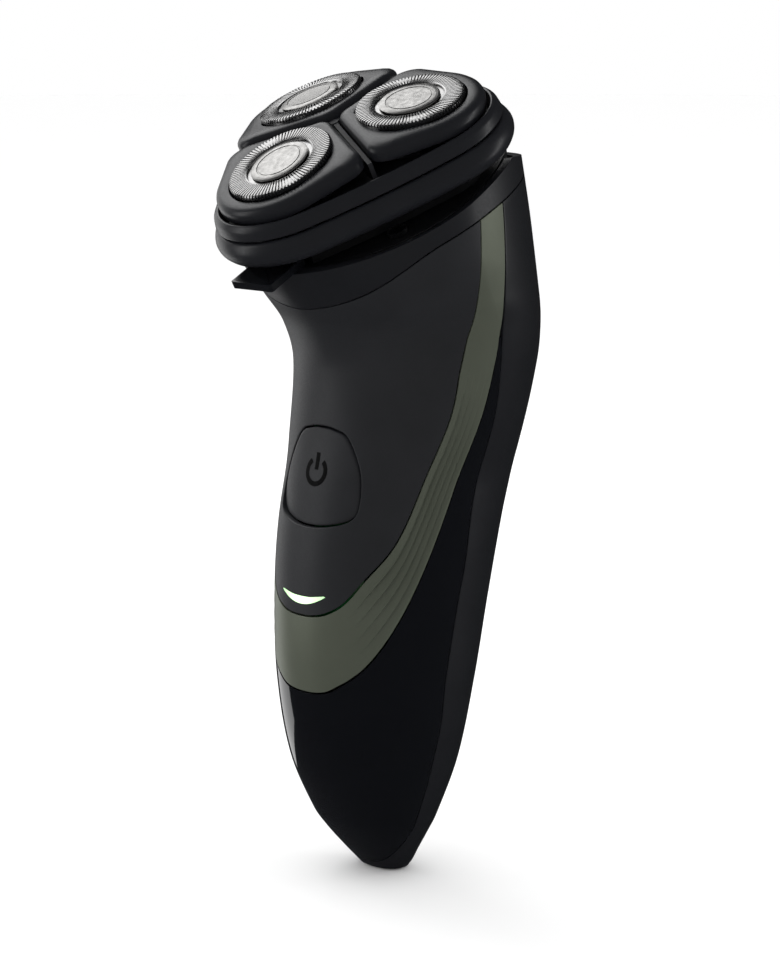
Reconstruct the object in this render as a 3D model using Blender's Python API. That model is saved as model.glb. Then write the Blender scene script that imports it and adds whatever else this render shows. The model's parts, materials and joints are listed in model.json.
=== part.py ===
"""Cordless rotary shaver with three pivoting cutting heads. Metres, +Z up along the handle, front to -Y.

The origin is the middle of the power inlet's end face, at the foot of the handle. The handle's outline is
a table of sections, its seams are curves in side view, and everything in the head is built in head
coordinates: u to the right, v to the rear along the tilted head plane, n out of the shaving face.
"""
import math

import bmesh
import bpy
from mathutils import Matrix, Vector

MM = 0.001

# Handle
BODY_LENGTH = 160 * MM
BODY_DEPTH = 40 * MM
GRIP_HALF_WIDTH = 19.2 * MM
GRIP_SCALE = GRIP_HALF_WIDTH / (19.2 * MM)
NECK_MARGIN = 6.15 * MM
SHELL_WALL = 2.0 * MM
SKIN = 1.0 * MM
SEAM = 0.3 * MM
CLEARANCE = 0.3 * MM

# Shaving heads
CAP_RADIUS = 10.75 * MM
CAP_SCALE = CAP_RADIUS / (10.75 * MM)
CAP_WALL = 0.5 * MM
LOBE_RIM = 3.05 * MM * CAP_SCALE
LOBE_EDGE = 3.55 * MM * CAP_SCALE
LOBE_GAP = 1.9 * MM
LOBE_POINT = 2.75 * MM * CAP_SCALE
POINT_RADIUS = 1.2 * MM * CAP_SCALE
HEAD_TILT = math.radians(28.8)
LOBE_TILT = math.radians(7.1)
HEAD_RISE = -7.6 * MM
SIDE_BULGE = 0.8 * MM

# Drive
PINION_TEETH = 20
GEAR_TEETH = 24
GEAR_THICKNESS = 2.0 * MM
SPINDLE_RADIUS = 1.9 * MM
SPINDLE_TRAVEL = 1.5 * MM
HUB_RADIUS = 3.4 * MM
TOWER_RADIUS = 3.3 * MM
AXLE_RADIUS = 0.95 * MM
MOTOR_RADIUS = 11.2 * MM
MOTOR_LENGTH = 25.4 * MM
MOTOR_WALL = 1.2 * MM
SHAFT_RADIUS = 1.0 * MM

# Electrics
CELL_RADIUS = 7.1 * MM
CELL_LENGTH = 48.5 * MM
BOARD_THICKNESS = 1.2 * MM
BOARD_HALF_WIDTH = 7.0 * MM * GRIP_SCALE
FRAME_HALF_WIDTH = 6.5 * MM * GRIP_SCALE
WINDOW_HALF_WIDTH = 7.0 * MM * GRIP_SCALE
BUTTON_TRAVEL = 0.8 * MM
SWITCH_DEPTH = 1.6 * MM
INLET_HALF_WIDTH = 4.0 * MM
INLET_HALF_DEPTH = 2.6 * MM
INLET_HEIGHT = 11.0 * MM
PIN_RADIUS = 0.45 * MM

# Hinge and release
HINGE_PIN_RADIUS = 0.95 * MM
LUG_INNER, LUG_OUTER, LUG_RADIUS = 8.7 * MM, 12.2 * MM, 2.2 * MM
RELEASE_TRAVEL = 1.3 * MM
HOOK_BITE = RELEASE_TRAVEL - 0.4 * MM

# Sizes that follow
HEAD_RADIUS = 2 * (CAP_RADIUS + LOBE_RIM) / math.sqrt(3)
LOBE_RADIUS = CAP_RADIUS + LOBE_EDGE
LOBE_TOP = -1.0 * MM
LOBE_PIVOT = -5.6 * MM
SPINDLE_CIRCLE = HEAD_RADIUS + LOBE_PIVOT * math.sin(LOBE_TILT)
MODULE = 2 * SPINDLE_CIRCLE / (PINION_TEETH + GEAR_TEETH)
GEAR_PITCH = MODULE * GEAR_TEETH / 2
PINION_PITCH = MODULE * PINION_TEETH / 2
TOOTH_TOP = 0.75 * MODULE
TOOTH_FOOT = 1.05 * MODULE
NECK_HALF_WIDTH = SPINDLE_CIRCLE * math.cos(math.pi / 6) + GEAR_PITCH + TOOTH_TOP + NECK_MARGIN
NECK_DEPTH = NECK_HALF_WIDTH + 11.8 * MM
HEAD_FORWARD = 0.3525 * NECK_DEPTH
LINING = SHELL_WALL + SKIN

# Heights along the head's axis
BEZEL_TOP = -5.2 * MM
FRAME_TOP = -7.4 * MM
BEZEL_FOOT = -8.1 * MM
FRAME_FOOT = -8.8 * MM
SHELL_TOP = -8.5 * MM
SHELL_FOOT = -13.9 * MM
COLLAR_TOP = -18.0 * MM
DECK_TOP = COLLAR_TOP - CLEARANCE
DECK_FOOT = -20.3 * MM
GEAR_TOP = -22.2 * MM
GEAR_FOOT = GEAR_TOP - GEAR_THICKNESS
HUB_TOP = DECK_FOOT - CLEARANCE
HUB_FOOT = -24.8 * MM
CHASSIS_TOP = -25.6 * MM
CHASSIS_FOOT = -27.4 * MM
MOTOR_TOP = -28.6 * MM
MOTOR_FOOT = MOTOR_TOP - MOTOR_LENGTH
HINGE_BACK = 24.6 * MM * CAP_SCALE
HINGE_DROP = -20.8 * MM
COLLAR_CEILING = BODY_LENGTH - 15 * MM
REACH = 60 * MM
HINGE_HOLE = LUG_OUTER + 0.8 * MM

# Height along the handle, then half width, front and rear, each as a share of the sizes above
SECTIONS = (
    (0.000, 0.292, -0.100, 0.095),
    (0.010, 0.360, -0.135, 0.110),
    (0.025, 0.443, -0.188, 0.125),
    (0.050, 0.583, -0.270, 0.153),
    (0.075, 0.703, -0.338, 0.188),
    (0.150, 0.885, -0.475, 0.312),
    (0.250, 0.969, -0.560, 0.425),
    (0.350, 1.000, -0.580, 0.520),
    (0.450, 1.036, -0.545, 0.612),
    (0.550, 1.064, -0.450, 0.712),
    (0.650, 0.966, -0.405, 0.775),
    (0.700, 0.945, -0.480, 0.775),
    (0.738, 0.965, -0.615, 0.750),
    (0.788, 1.000, -0.790, 0.710),
    (0.838, 1.000, -0.860, 0.675),
    (0.912, 0.965, -0.900, 0.625),
    (0.950, 0.943, -0.900, 0.600),
)
GRIP_FRONT_POWER, NECK_FRONT_POWER, REAR_POWER = 2.2, 1.75, 2.4

# Seams in side view: share of the depth, share of the length
PANEL_EDGE = (
    (-0.80, 0.340), (-0.62, 0.345), (-0.54, 0.363), (-0.45, 0.402), (-0.33, 0.444), (-0.225, 0.497),
    (-0.115, 0.565), (-0.06, 0.61), (-0.042, 0.66), (-0.058, 0.74), (-0.065, 0.875), (-0.065, 0.97),
)
BAND_EDGE = (
    (-0.80, 0.232), (-0.65, 0.238), (-0.56, 0.253), (-0.52, 0.269), (-0.438, 0.299), (-0.315, 0.350),
    (-0.212, 0.399), (-0.102, 0.457), (0.0, 0.518), (0.09, 0.581), (0.13, 0.625), (0.1425, 0.67),
    (0.1225, 0.74), (0.11, 0.875), (0.11, 0.97),
)
PARTING = (
    (-0.135, -0.03), (-0.13, 0.03), (-0.118, 0.067), (-0.11, 0.109), (-0.088, 0.162), (-0.052, 0.212),
    (-0.04, 0.262), (-0.005, 0.312), (0.035, 0.362), (0.078, 0.412), (0.115, 0.488), (0.178, 0.561),
    (0.2, 0.61), (0.188, 0.655), (0.15, 0.70), (0.1225, 0.74), (0.11, 0.875), (0.11, 0.97),
)
COLLAR_SEAM = (
    (-1.2, 0.62), (-0.95, 0.66), (-0.70, 0.694), (-0.5375, 0.7375), (-0.425, 0.778), (-0.325, 0.802),
    (-0.2, 0.82), (-0.075, 0.835), (0.11, 0.855), (0.35, 0.878), (0.675, 0.90), (1.0, 0.915),
)
LOBE_ANGLES = {"front": -90, "right": 30, "left": 150}


def clear_scene():
    """Removes everything that the scene starts with."""
    for item in list(bpy.data.objects):
        bpy.data.objects.remove(item, do_unlink=True)


def material(name, colour, roughness, metallic=0.0):
    """A Principled material from an sRGB hex colour."""
    made = bpy.data.materials.get(name) or bpy.data.materials.new(name)
    made.use_nodes = True
    channels = [int(colour[i : i + 2], 16) / 255 for i in (0, 2, 4)]
    linear = [c / 12.92 if c <= 0.04045 else ((c + 0.055) / 1.055) ** 2.4 for c in channels]
    shader = made.node_tree.nodes["Principled BSDF"]
    shader.inputs["Base Color"].default_value = (*linear, 1.0)
    shader.inputs["Roughness"].default_value = roughness
    shader.inputs["Metallic"].default_value = metallic
    return made


def attach(item, parent):
    """Parents the item where it stands."""
    item.parent = parent
    item.matrix_parent_inverse = parent.matrix_world.inverted()


def pivot(name, frame, parent=None):
    """An empty on a joint's axis, which carries what turns or slides there."""
    item = bpy.data.objects.new(name, None)
    bpy.context.collection.objects.link(item)
    item.empty_display_size = 5 * MM
    item.matrix_world = frame
    if parent:
        attach(item, parent)
    return item


def finish(name, bm, look, frame=None, parent=None, cutter=False):
    """One object from a bmesh whose points are in the given frame."""
    bmesh.ops.remove_doubles(bm, verts=bm.verts, dist=1e-7)
    bmesh.ops.recalc_face_normals(bm, faces=bm.faces)
    if bm.calc_volume(signed=True) < 0:
        bmesh.ops.reverse_faces(bm, faces=bm.faces)
    mesh = bpy.data.meshes.new(name)
    bm.to_mesh(mesh)
    bm.free()
    mesh.shade_smooth()
    mesh.set_sharp_from_angle(angle=math.radians(35))
    item = bpy.data.objects.new(name, mesh)
    bpy.context.collection.objects.link(item)
    if look:
        mesh.materials.append(look)
    item.matrix_world = frame if frame else Matrix.Identity(4)
    if parent:
        attach(item, parent)
    if cutter:
        item.hide_render = True
        item.display_type = "WIRE"
    return item


def combine(item, tool, operation, solver="EXACT"):
    """A Boolean left live on the item, with the tool kept as a hidden guide that moves with it."""
    if not tool.parent:
        attach(tool, item)
    tool.hide_render = True
    tool.display_type = "WIRE"
    change = item.modifiers.new(f"{operation.title()} {tool.name}", "BOOLEAN")
    change.operation = operation
    change.object = tool
    change.solver = solver
    return item


def skin(rings, closed=False):
    """A bmesh through rings of points, capped at both ends, or joined end to end where closed."""
    bm = bmesh.new()
    loops = [[bm.verts.new(point) for point in ring] for ring in rings]
    count = len(loops[0])
    pairs = list(zip(loops, loops[1:])) + ([(loops[-1], loops[0])] if closed else [])
    for low, high in pairs:
        for i in range(count):
            j = (i + 1) % count
            bm.faces.new((low[i], low[j], high[j], high[i]))
    if not closed:
        bm.faces.new(reversed(loops[0]))
        bm.faces.new(loops[-1])
    return bm


def prism(outline, low, high):
    """A flat outline in x and y, carried from one height to another."""
    return skin([[(x, y, low) for x, y in outline], [(x, y, high) for x, y in outline]])


def box(low, high):
    """A box between two corners."""
    outline = ((low[0], low[1]), (high[0], low[1]), (high[0], high[1]), (low[0], high[1]))
    return prism(outline, low[2], high[2])


def turned(profile, count=16):
    """A solid of revolution about z, spun from (radius, height) points that start and end on the axis,
    or that close on themselves where none is on the axis."""
    bm = bmesh.new()
    points = [bm.verts.new((radius, 0.0, height)) for radius, height in profile]
    edges = [bm.edges.new(pair) for pair in zip(points, points[1:])]
    if profile[0][0] > 0:
        edges.append(bm.edges.new((points[-1], points[0])))
    bmesh.ops.spin(bm, geom=points + edges, cent=(0, 0, 0), axis=(0, 0, 1), angle=2 * math.pi,
                   steps=count, use_merge=True)
    bmesh.ops.remove_doubles(bm, verts=bm.verts, dist=1e-7)
    return bm


def rod(radius, low, high):
    """The profile of a plain cylinder, for turned."""
    return [(0.0, high), (radius, high), (radius, low), (0.0, low)]


def tube(inner, outer, low, high):
    """The profile of a ring, for turned."""
    return [(inner, high), (outer, high), (outer, low), (inner, low)]


def smooth_through(points, steps):
    """A Catmull-Rom curve through 2-D points."""
    ends = [points[0], *points, points[-1]]
    curve = []
    for a, b, c, d in zip(ends, ends[1:], ends[2:], ends[3:]):
        for i in range(steps):
            t = i / steps
            curve.append(tuple(
                0.5 * (2 * q + (r - p) * t + (2 * p - 5 * q + 4 * r - s) * t**2
                       + (3 * q - p - 3 * r + s) * t**3)
                for p, q, r, s in zip(a, b, c, d)
            ))
    curve.append(points[-1])
    return curve


def neck_share(height):
    """0 in the grip and 1 in the neck, blended in between."""
    t = min(max((height / BODY_LENGTH - 0.5) / 0.24, 0.0), 1.0)
    return t * t * (3 - 2 * t)


def handle_row(share):
    """Half width, front and rear of the handle at a share of its length, smoothed between the sections."""
    rows = SECTIONS
    i = max(k for k in range(len(rows) - 1) if rows[k][0] <= max(share, 0.0))
    t = (share - rows[i][0]) / (rows[i + 1][0] - rows[i][0])
    span = rows[i + 1][0] - rows[i][0]
    values = []
    for column in (1, 2, 3):
        before, after = rows[max(i - 1, 0)], rows[min(i + 2, len(rows) - 1)]
        low, high = rows[i][column], rows[i + 1][column]
        slope_low = (high - before[column]) / (rows[i + 1][0] - before[0]) * span
        slope_high = (after[column] - low) / (after[0] - rows[i][0]) * span
        values.append(low * (1 + 2 * t) * (1 - t) ** 2 + slope_low * t * (1 - t) ** 2
                      + high * t * t * (3 - 2 * t) + slope_high * t * t * (t - 1))
    return values


def handle_sizes(height, inset=0.0):
    """Half width, front and rear in metres, drawn in by the inset."""
    blend = neck_share(height)
    width = GRIP_HALF_WIDTH + (NECK_HALF_WIDTH - GRIP_HALF_WIDTH) * blend
    depth = BODY_DEPTH + (NECK_DEPTH - BODY_DEPTH) * blend
    half, front, rear = handle_row(height / BODY_LENGTH)
    return half * width - inset, front * depth + inset, rear * depth - inset


def handle_ring(height, inset, count=26):
    """One section: two superellipse halves that meet at mid depth."""
    half, front, rear = handle_sizes(height, inset)
    middle, reach = (front + rear) / 2, (rear - front) / 2
    front_power = GRIP_FRONT_POWER + (NECK_FRONT_POWER - GRIP_FRONT_POWER) * neck_share(height)
    ring = []
    for i in range(count):
        angle = 2 * math.pi * (i + 0.5) / count
        power = 2 / (front_power if math.sin(angle) < 0 else REAR_POWER)
        across = math.copysign(abs(math.cos(angle)) ** power, math.cos(angle))
        along = math.copysign(abs(math.sin(angle)) ** power, math.sin(angle))
        ring.append((half * across, middle + reach * along, height))
    return ring


def handle_solid(name, inset=0.0, look=None, parent=None):
    """The whole handle's outline as one solid, drawn in by the inset, foot included."""
    shares = [row[0] for row in SECTIONS]
    heights = [inset] + [share * BODY_LENGTH for share in shares if share * BODY_LENGTH > inset + MM]
    rings = [handle_ring(height, inset) for height in heights]
    return finish(name, skin(rings), look, parent=parent, cutter=look is None)


def side_curve(points, steps=2):
    """Seam points in metres, in side view."""
    curve = []
    for y, z in smooth_through(points, steps):
        depth = BODY_DEPTH + (NECK_DEPTH - BODY_DEPTH) * neck_share(z * BODY_LENGTH)
        curve.append((y * depth, z * BODY_LENGTH))
    return curve


def shifted(curve, distance):
    """The curve moved sideways, to the left of its direction of travel."""
    moved = []
    for i, (y, z) in enumerate(curve):
        before, after = curve[max(i - 1, 0)], curve[min(i + 1, len(curve) - 1)]
        run = Vector((after[0] - before[0], after[1] - before[1])).normalized()
        moved.append((y - run.y * distance, z + run.x * distance))
    return moved


def across(name, outline, half_width=REACH, offset=0.0, look=None):
    """A side-view outline carried across the handle."""
    low, high = offset - half_width, offset + half_width
    rings = [[(x, y, z) for y, z in outline] for x in (low, high)]
    return finish(name, skin(rings), look, cutter=look is None)


def region(name, points, side, shift=SEAM / 2):
    """Everything on one side of a seam: front, rear, above or below."""
    far, foot = 80 * MM, -10 * MM
    curve = side_curve(points)
    if side in ("front", "above"):
        curve = shifted(curve, shift)
    else:
        curve = shifted(curve, -shift)
    first, last = curve[0], curve[-1]
    closing = {
        "front": [(-far, last[1]), (-far, first[1])],
        "rear": [(far, last[1]), (far, foot), (first[0], foot)],
        "above": [(last[0], BODY_LENGTH + far), (first[0], BODY_LENGTH + far)],
        "below": [(last[0], foot), (first[0], foot)],
    }
    return across(name, curve + closing[side])


def head_frame():
    """Head coordinates: x to the right, y rearward up the tilted plane, z out of the shaving face."""
    place = Matrix.Translation((0, -HEAD_FORWARD, BODY_LENGTH + HEAD_RISE))
    return place @ Matrix.Rotation(HEAD_TILT, 4, "X")


def lobe_frame(angle):
    """A lobe's own frame, x outward and z along its cap's axis, which leans outward."""
    turn = Matrix.Rotation(math.radians(angle), 4, "Z")
    return head_frame() @ turn @ Matrix.Translation((HEAD_RADIUS, 0, 0)) @ Matrix.Rotation(LOBE_TILT, 4, "Y")


def spindle_frame(angle):
    """The axis of a lobe's gear and spindle, along the head's z."""
    a = math.radians(angle)
    return head_frame() @ Matrix.Translation((SPINDLE_CIRCLE * math.cos(a), SPINDLE_CIRCLE * math.sin(a), 0))


def head_outline(radius, corner_steps=6, side_steps=3):
    """Three corner arcs about the lobes' centres, joined by slightly bulging sides."""
    half = CAP_RADIUS + LOBE_RIM
    back = (half**2 - SIDE_BULGE**2) / (2 * SIDE_BULGE)
    lean = math.asin(half / (back + SIDE_BULGE))
    points = []
    for angle in LOBE_ANGLES.values():
        a = math.radians(angle)
        spread = math.pi / 3 - lean
        for i in range(corner_steps + 1):
            t = a - spread + 2 * spread * i / corner_steps
            points.append((HEAD_RADIUS * math.cos(a) + radius * math.cos(t),
                           HEAD_RADIUS * math.sin(a) + radius * math.sin(t)))
        m = a + math.pi / 3
        start = HEAD_RADIUS / 2 - back
        for i in range(1, side_steps):
            t = m - lean + 2 * lean * i / side_steps
            points.append((start * math.cos(m) + (back + SIDE_BULGE + radius) * math.cos(t),
                           start * math.sin(m) + (back + SIDE_BULGE + radius) * math.sin(t)))
    return points


def head_ring(profile, corner_steps=6):
    """A band round the head whose cross-section is a closed list of (radius, height)."""
    return skin([[(x, y, height) for x, y in head_outline(radius, corner_steps)]
                 for radius, height in profile], closed=True)


def gear_outline(teeth, pitch_radius, first):
    """Trapezoid teeth with backlash, the first one centred on an angle."""
    step = 2 * math.pi / teeth
    tip, root = pitch_radius + TOOTH_TOP, pitch_radius - TOOTH_FOOT
    points = []
    for i in range(teeth):
        for radius, share in ((root, -0.30), (tip, -0.11), (tip, 0.11), (root, 0.30)):
            angle = first + (i + share) * step
            points.append((radius * math.cos(angle), radius * math.sin(angle)))
    return points


def drill(item, radius, low, high, frame, count=16):
    """A round hole through the item along z of the frame."""
    hole = finish(f"{item.name} hole", turned(rod(radius, low, high), count), None, frame, cutter=True)
    return combine(item, hole, "DIFFERENCE")


def build_housings(looks):
    """The handle's shells: a carrier behind trim and gloss cover, with the panel above, and the rear."""
    below_collar = region("below collar", COLLAR_SEAM, "below")

    front = handle_solid("front_housing", SKIN + CLEARANCE, looks["soft_black"])
    panel = handle_solid("upper panel")
    combine(panel, region("panel area", PANEL_EDGE, "front"), "INTERSECT")
    combine(front, panel, "UNION")
    combine(front, region("front of parting", PARTING, "front"), "INTERSECT")
    combine(front, below_collar, "INTERSECT")
    combine(front, handle_solid("front hollow", LINING), "DIFFERENCE")

    rear = handle_solid("rear_housing", 0.0, looks["rear_black"])
    combine(rear, region("rear of parting", PARTING, "rear"), "INTERSECT")
    combine(rear, below_collar, "INTERSECT")
    combine(rear, handle_solid("rear hollow", SHELL_WALL), "DIFFERENCE")
    inlet = [(x * (INLET_HALF_WIDTH + CLEARANCE), y * (INLET_HALF_DEPTH + CLEARANCE)) for x, y in oval(1, 1)]
    opening = finish("inlet opening", prism(inlet, -MM, 0.4 * INLET_HEIGHT), None, cutter=True)
    combine(rear, opening, "DIFFERENCE")

    under_skin = handle_solid("under skin", SKIN)
    trim = handle_solid("trim_band", 0.0, looks["trim"])
    for tool, operation in ((region("behind panel", PANEL_EDGE, "rear"), "INTERSECT"),
                            (region("in front of band edge", BAND_EDGE, "front"), "INTERSECT"),
                            (below_collar, "INTERSECT"), (under_skin, "DIFFERENCE")):
        combine(trim, tool, operation)
    cover = handle_solid("lower_front_cover", 0.0, looks["gloss_black"])
    for tool, operation in ((region("behind band", BAND_EDGE, "rear"), "INTERSECT"),
                            (region("in front of parting", PARTING, "front"), "INTERSECT"),
                            (below_collar, "INTERSECT"), (under_skin, "DIFFERENCE")):
        combine(cover, tool, operation)
    return front


def oval(half_width, half_depth, count=24):
    """A rounded slot outline, squarer than an ellipse."""
    return [(half_width * math.copysign(abs(math.cos(a)) ** 0.6, math.cos(a)),
             half_depth * math.copysign(abs(math.sin(a)) ** 0.8, math.sin(a)))
            for a in (2 * math.pi * (i + 0.5) / count for i in range(count))]


def hinge_point():
    """Where the hinge pin's middle is."""
    return head_frame() @ Vector((0, HINGE_BACK, HINGE_DROP))


def hinge_frame():
    """A frame with z along the hinge pin."""
    return Matrix.Translation(hinge_point()) @ Matrix.Rotation(math.pi / 2, 4, "Y")


def side_arc(centre, radius, start, end, steps=8):
    """An arc in side view, in degrees from the rear."""
    return [(centre[0] + radius * math.cos(math.radians(start + (end - start) * i / steps)),
             centre[1] + radius * math.sin(math.radians(start + (end - start) * i / steps)))
            for i in range(steps + 1)]


def build_collar(looks):
    """The ring under the head, with the hinge's fixed lugs at the back."""
    collar = handle_solid("neck_collar", 0.0, looks["collar"])
    combine(collar, region("above collar seam", COLLAR_SEAM, "above"), "INTERSECT")
    slab = box((-REACH, -REACH, -80 * MM), (REACH, REACH, COLLAR_TOP))
    slab = finish("collar slab", slab, None, head_frame(), cutter=True)
    combine(collar, slab, "INTERSECT")
    ceiling = box((-REACH, -REACH, 50 * MM), (REACH, REACH, COLLAR_CEILING))
    combine(collar, finish("collar ceiling", ceiling, None, cutter=True), "INTERSECT")
    combine(collar, handle_solid("collar hollow", SHELL_WALL), "DIFFERENCE")
    pin = hinge_point()
    wall = handle_sizes(COLLAR_CEILING)[2] - SHELL_WALL + 0.5 * MM
    base = COLLAR_CEILING - 1.8 * MM
    outline = [(pin.y - LUG_RADIUS, base), (wall, base), (wall, COLLAR_CEILING - 0.2 * MM)]
    outline += side_arc((pin.y, pin.z), LUG_RADIUS, -20, 180)
    for name, side in (("left lug", -1), ("right lug", 1)):
        middle = side * (LUG_INNER + LUG_OUTER) / 2
        lug = across(name, outline, (LUG_OUTER - LUG_INNER) / 2, middle)
        combine(collar, lug, "UNION")
    drill(collar, HINGE_PIN_RADIUS + CLEARANCE, -HINGE_HOLE, HINGE_HOLE, hinge_frame())
    pin_length = LUG_OUTER - 0.2 * MM
    pin_rod = turned(rod(HINGE_PIN_RADIUS, -pin_length, pin_length))
    finish("hinge_pin", pin_rod, looks["steel"], hinge_frame())


def build_button(looks, front):
    """The power button in its opening, with the plunger that reaches the switch on the board."""
    outline = smooth_through([(0.0, 0.461), (5.0, 0.464), (9.4, 0.474), (10.3, 0.494), (9.4, 0.532),
                              (6.4, 0.568), (3.2, 0.577), (0.0, 0.579)], 2)
    half = [(x * MM, z * BODY_LENGTH) for x, z in outline]
    closed = half + [(-x, z) for x, z in reversed(half[1:-1])]
    centre = sum(z for _, z in half) / len(half)
    front_face = handle_sizes(0.5 * BODY_LENGTH)[1]

    def through(name, margin, depth=REACH / 3):
        """The button's outline, grown by a margin, carried through the front."""
        grow = 1 + margin / (10.3 * MM)
        rings = [[(x * grow, y, centre + (z - centre) * grow) for x, z in closed]
                 for y in (front_face - REACH / 3, front_face + depth)]
        return finish(name, skin(rings), None, cutter=True)

    combine(front, through("button opening", CLEARANCE), "DIFFERENCE")
    place = pivot("button_pivot", Matrix.Translation((0, front_face, centre)))
    button = handle_solid("power_button", 0.0, looks["soft_black"], place)
    combine(button, through("button outline", 0.0), "INTERSECT")
    combine(button, handle_solid("button back", SHELL_WALL), "DIFFERENCE")
    height = 0.525 * BODY_LENGTH
    skin_front = handle_sizes(height)[1]
    board_front = board_face()
    reach = board_front - SWITCH_DEPTH - CLEARANCE - BUTTON_TRAVEL - 0.1 * MM
    rearward = Matrix.Translation((0, skin_front + 1.2 * MM, height)) @ Matrix.Rotation(-math.pi / 2, 4, "X")
    plunger = turned(rod(1.3 * MM, 0, reach - skin_front - 1.2 * MM), 12)
    plunger = finish("button plunger", plunger, None, rearward, cutter=True)
    combine(button, plunger, "UNION")
    switch = box((-3 * MM, board_front - SWITCH_DEPTH, height - 3 * MM),
                 (3 * MM, board_front - CLEARANCE, height + 3 * MM))
    finish("tact_switch", switch, looks["steel"])


def board_face():
    """The board stands just behind the narrowest part of the waist."""
    return handle_sizes(0.575 * BODY_LENGTH)[1] + LINING + 1.6 * MM


def build_window(looks, front):
    """The crescent light window above the trim, its light guide and the LED behind it."""
    middle, sag, half = 0.377 * BODY_LENGTH, 2.0 * MM, WINDOW_HALF_WIDTH
    lower = [(half * t, middle - sag * (1 - t * t)) for t in [i / 4 for i in range(-4, 5)]]
    upper = [(half * t, middle - (sag - 1.5 * MM) * (1 - t * t) + 0.15 * MM) for t in
             [i / 4 for i in range(4, -5, -1)]]
    front_face = handle_sizes(middle)[1]
    for name, grow in (("window opening", CLEARANCE), ("window outline", 0.0)):
        outline = [(x, z - grow) for x, z in lower] + [(x, z + grow) for x, z in upper]
        outline = [(x * (1 + grow / half), z) for x, z in outline]
        rings = [[(x, y, z) for x, z in outline] for y in (front_face - 5 * MM, front_face + 6.5 * MM)]
        tool = finish(name, skin(rings), None, cutter=True)
        if grow:
            combine(front, tool, "DIFFERENCE")
    window = handle_solid("light_window", 0.0, looks["lens"])
    combine(window, tool, "INTERSECT")
    combine(window, handle_solid("window back", LINING), "DIFFERENCE")
    guide_end = board_face() - 1.9 * MM
    guide = finish("light guide", box((-1.6 * MM, front_face + 1.5 * MM, middle - 1.9 * MM),
                                      (1.6 * MM, guide_end, middle - 0.5 * MM)), None, cutter=True)
    combine(window, guide, "UNION")
    finish("charge_led", box((-1.6 * MM, guide_end + CLEARANCE, middle - 2.0 * MM),
                             (1.6 * MM, board_face() - CLEARANCE, middle - 0.2 * MM)), looks["lens"])


def build_electrics(looks):
    """Board, inner frame, cell with its two contacts, and the inlet with its pins."""
    face = board_face()
    low, high = 0.2875 * BODY_LENGTH, 0.575 * BODY_LENGTH
    board = box((-BOARD_HALF_WIDTH, face, low), (BOARD_HALF_WIDTH, face + BOARD_THICKNESS, high))
    finish("circuit_board", board, looks["board"])
    plate = face + BOARD_THICKNESS + CLEARANCE + 0.4 * MM
    cell_y = plate + 1.5 * MM + CLEARANCE + CELL_RADIUS
    cell_foot = 0.125 * BODY_LENGTH
    cell_head = cell_foot + CELL_LENGTH
    back = cell_y + 0.5 * CELL_RADIUS
    rim = 1.4 * MM
    outline = [(plate, cell_foot - 2.0 * MM - rim), (back, cell_foot - 2.0 * MM - rim),
               (back, cell_foot - 2.0 * MM), (plate + 1.5 * MM, cell_foot - 2.0 * MM),
               (plate + 1.5 * MM, cell_head + 2.0 * MM), (back, cell_head + 2.0 * MM),
               (back, cell_head + 2.0 * MM + rim), (plate, cell_head + 2.0 * MM + rim)]
    across("inner_frame", outline, FRAME_HALF_WIDTH, look=looks["dark_plastic"])
    place = Matrix.Translation((0, cell_y, 0))
    nub = [(0.0, cell_head), (2.4 * MM, cell_head), (2.4 * MM, cell_head - 1.0 * MM),
           (CELL_RADIUS, cell_head - 1.0 * MM), (CELL_RADIUS, cell_foot), (0.0, cell_foot)]
    finish("battery_cell", turned(nub), looks["cell"], place)
    contact = 0.5 * MM
    for name, low_end in (("battery_contact_top", cell_head + CLEARANCE),
                          ("battery_contact_bottom", cell_foot - CLEARANCE - contact)):
        finish(name, turned(rod(0.6 * CELL_RADIUS, low_end, low_end + contact), 16), looks["nickel"], place)
    socket = finish("inlet_socket", prism(oval(INLET_HALF_WIDTH, INLET_HALF_DEPTH), 0, INLET_HEIGHT),
                    looks["dark_plastic"])
    web, rim, floor = 0.6 * MM, 0.8 * MM, 0.7 * INLET_HEIGHT
    for name, side in (("left", -1), ("right", 1)):
        inner, outer = side * web, side * (INLET_HALF_WIDTH - rim)
        reach = INLET_HALF_DEPTH - 0.9 * MM
        pocket = finish(f"inlet pocket {name}", box((min(inner, outer), -reach, -MM),
                                                    (max(inner, outer), reach, floor)), None, cutter=True)
        combine(socket, pocket, "DIFFERENCE")
        middle = Matrix.Translation(((inner + outer) / 2, 0, 0))
        drill(socket, PIN_RADIUS + CLEARANCE, floor - MM, INLET_HEIGHT + MM, middle, 12)
        finish(f"inlet_pin_{name}", turned(rod(PIN_RADIUS, 2 * MM, INLET_HEIGHT + 1.5 * MM), 12),
               looks["nickel"], middle)


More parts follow.
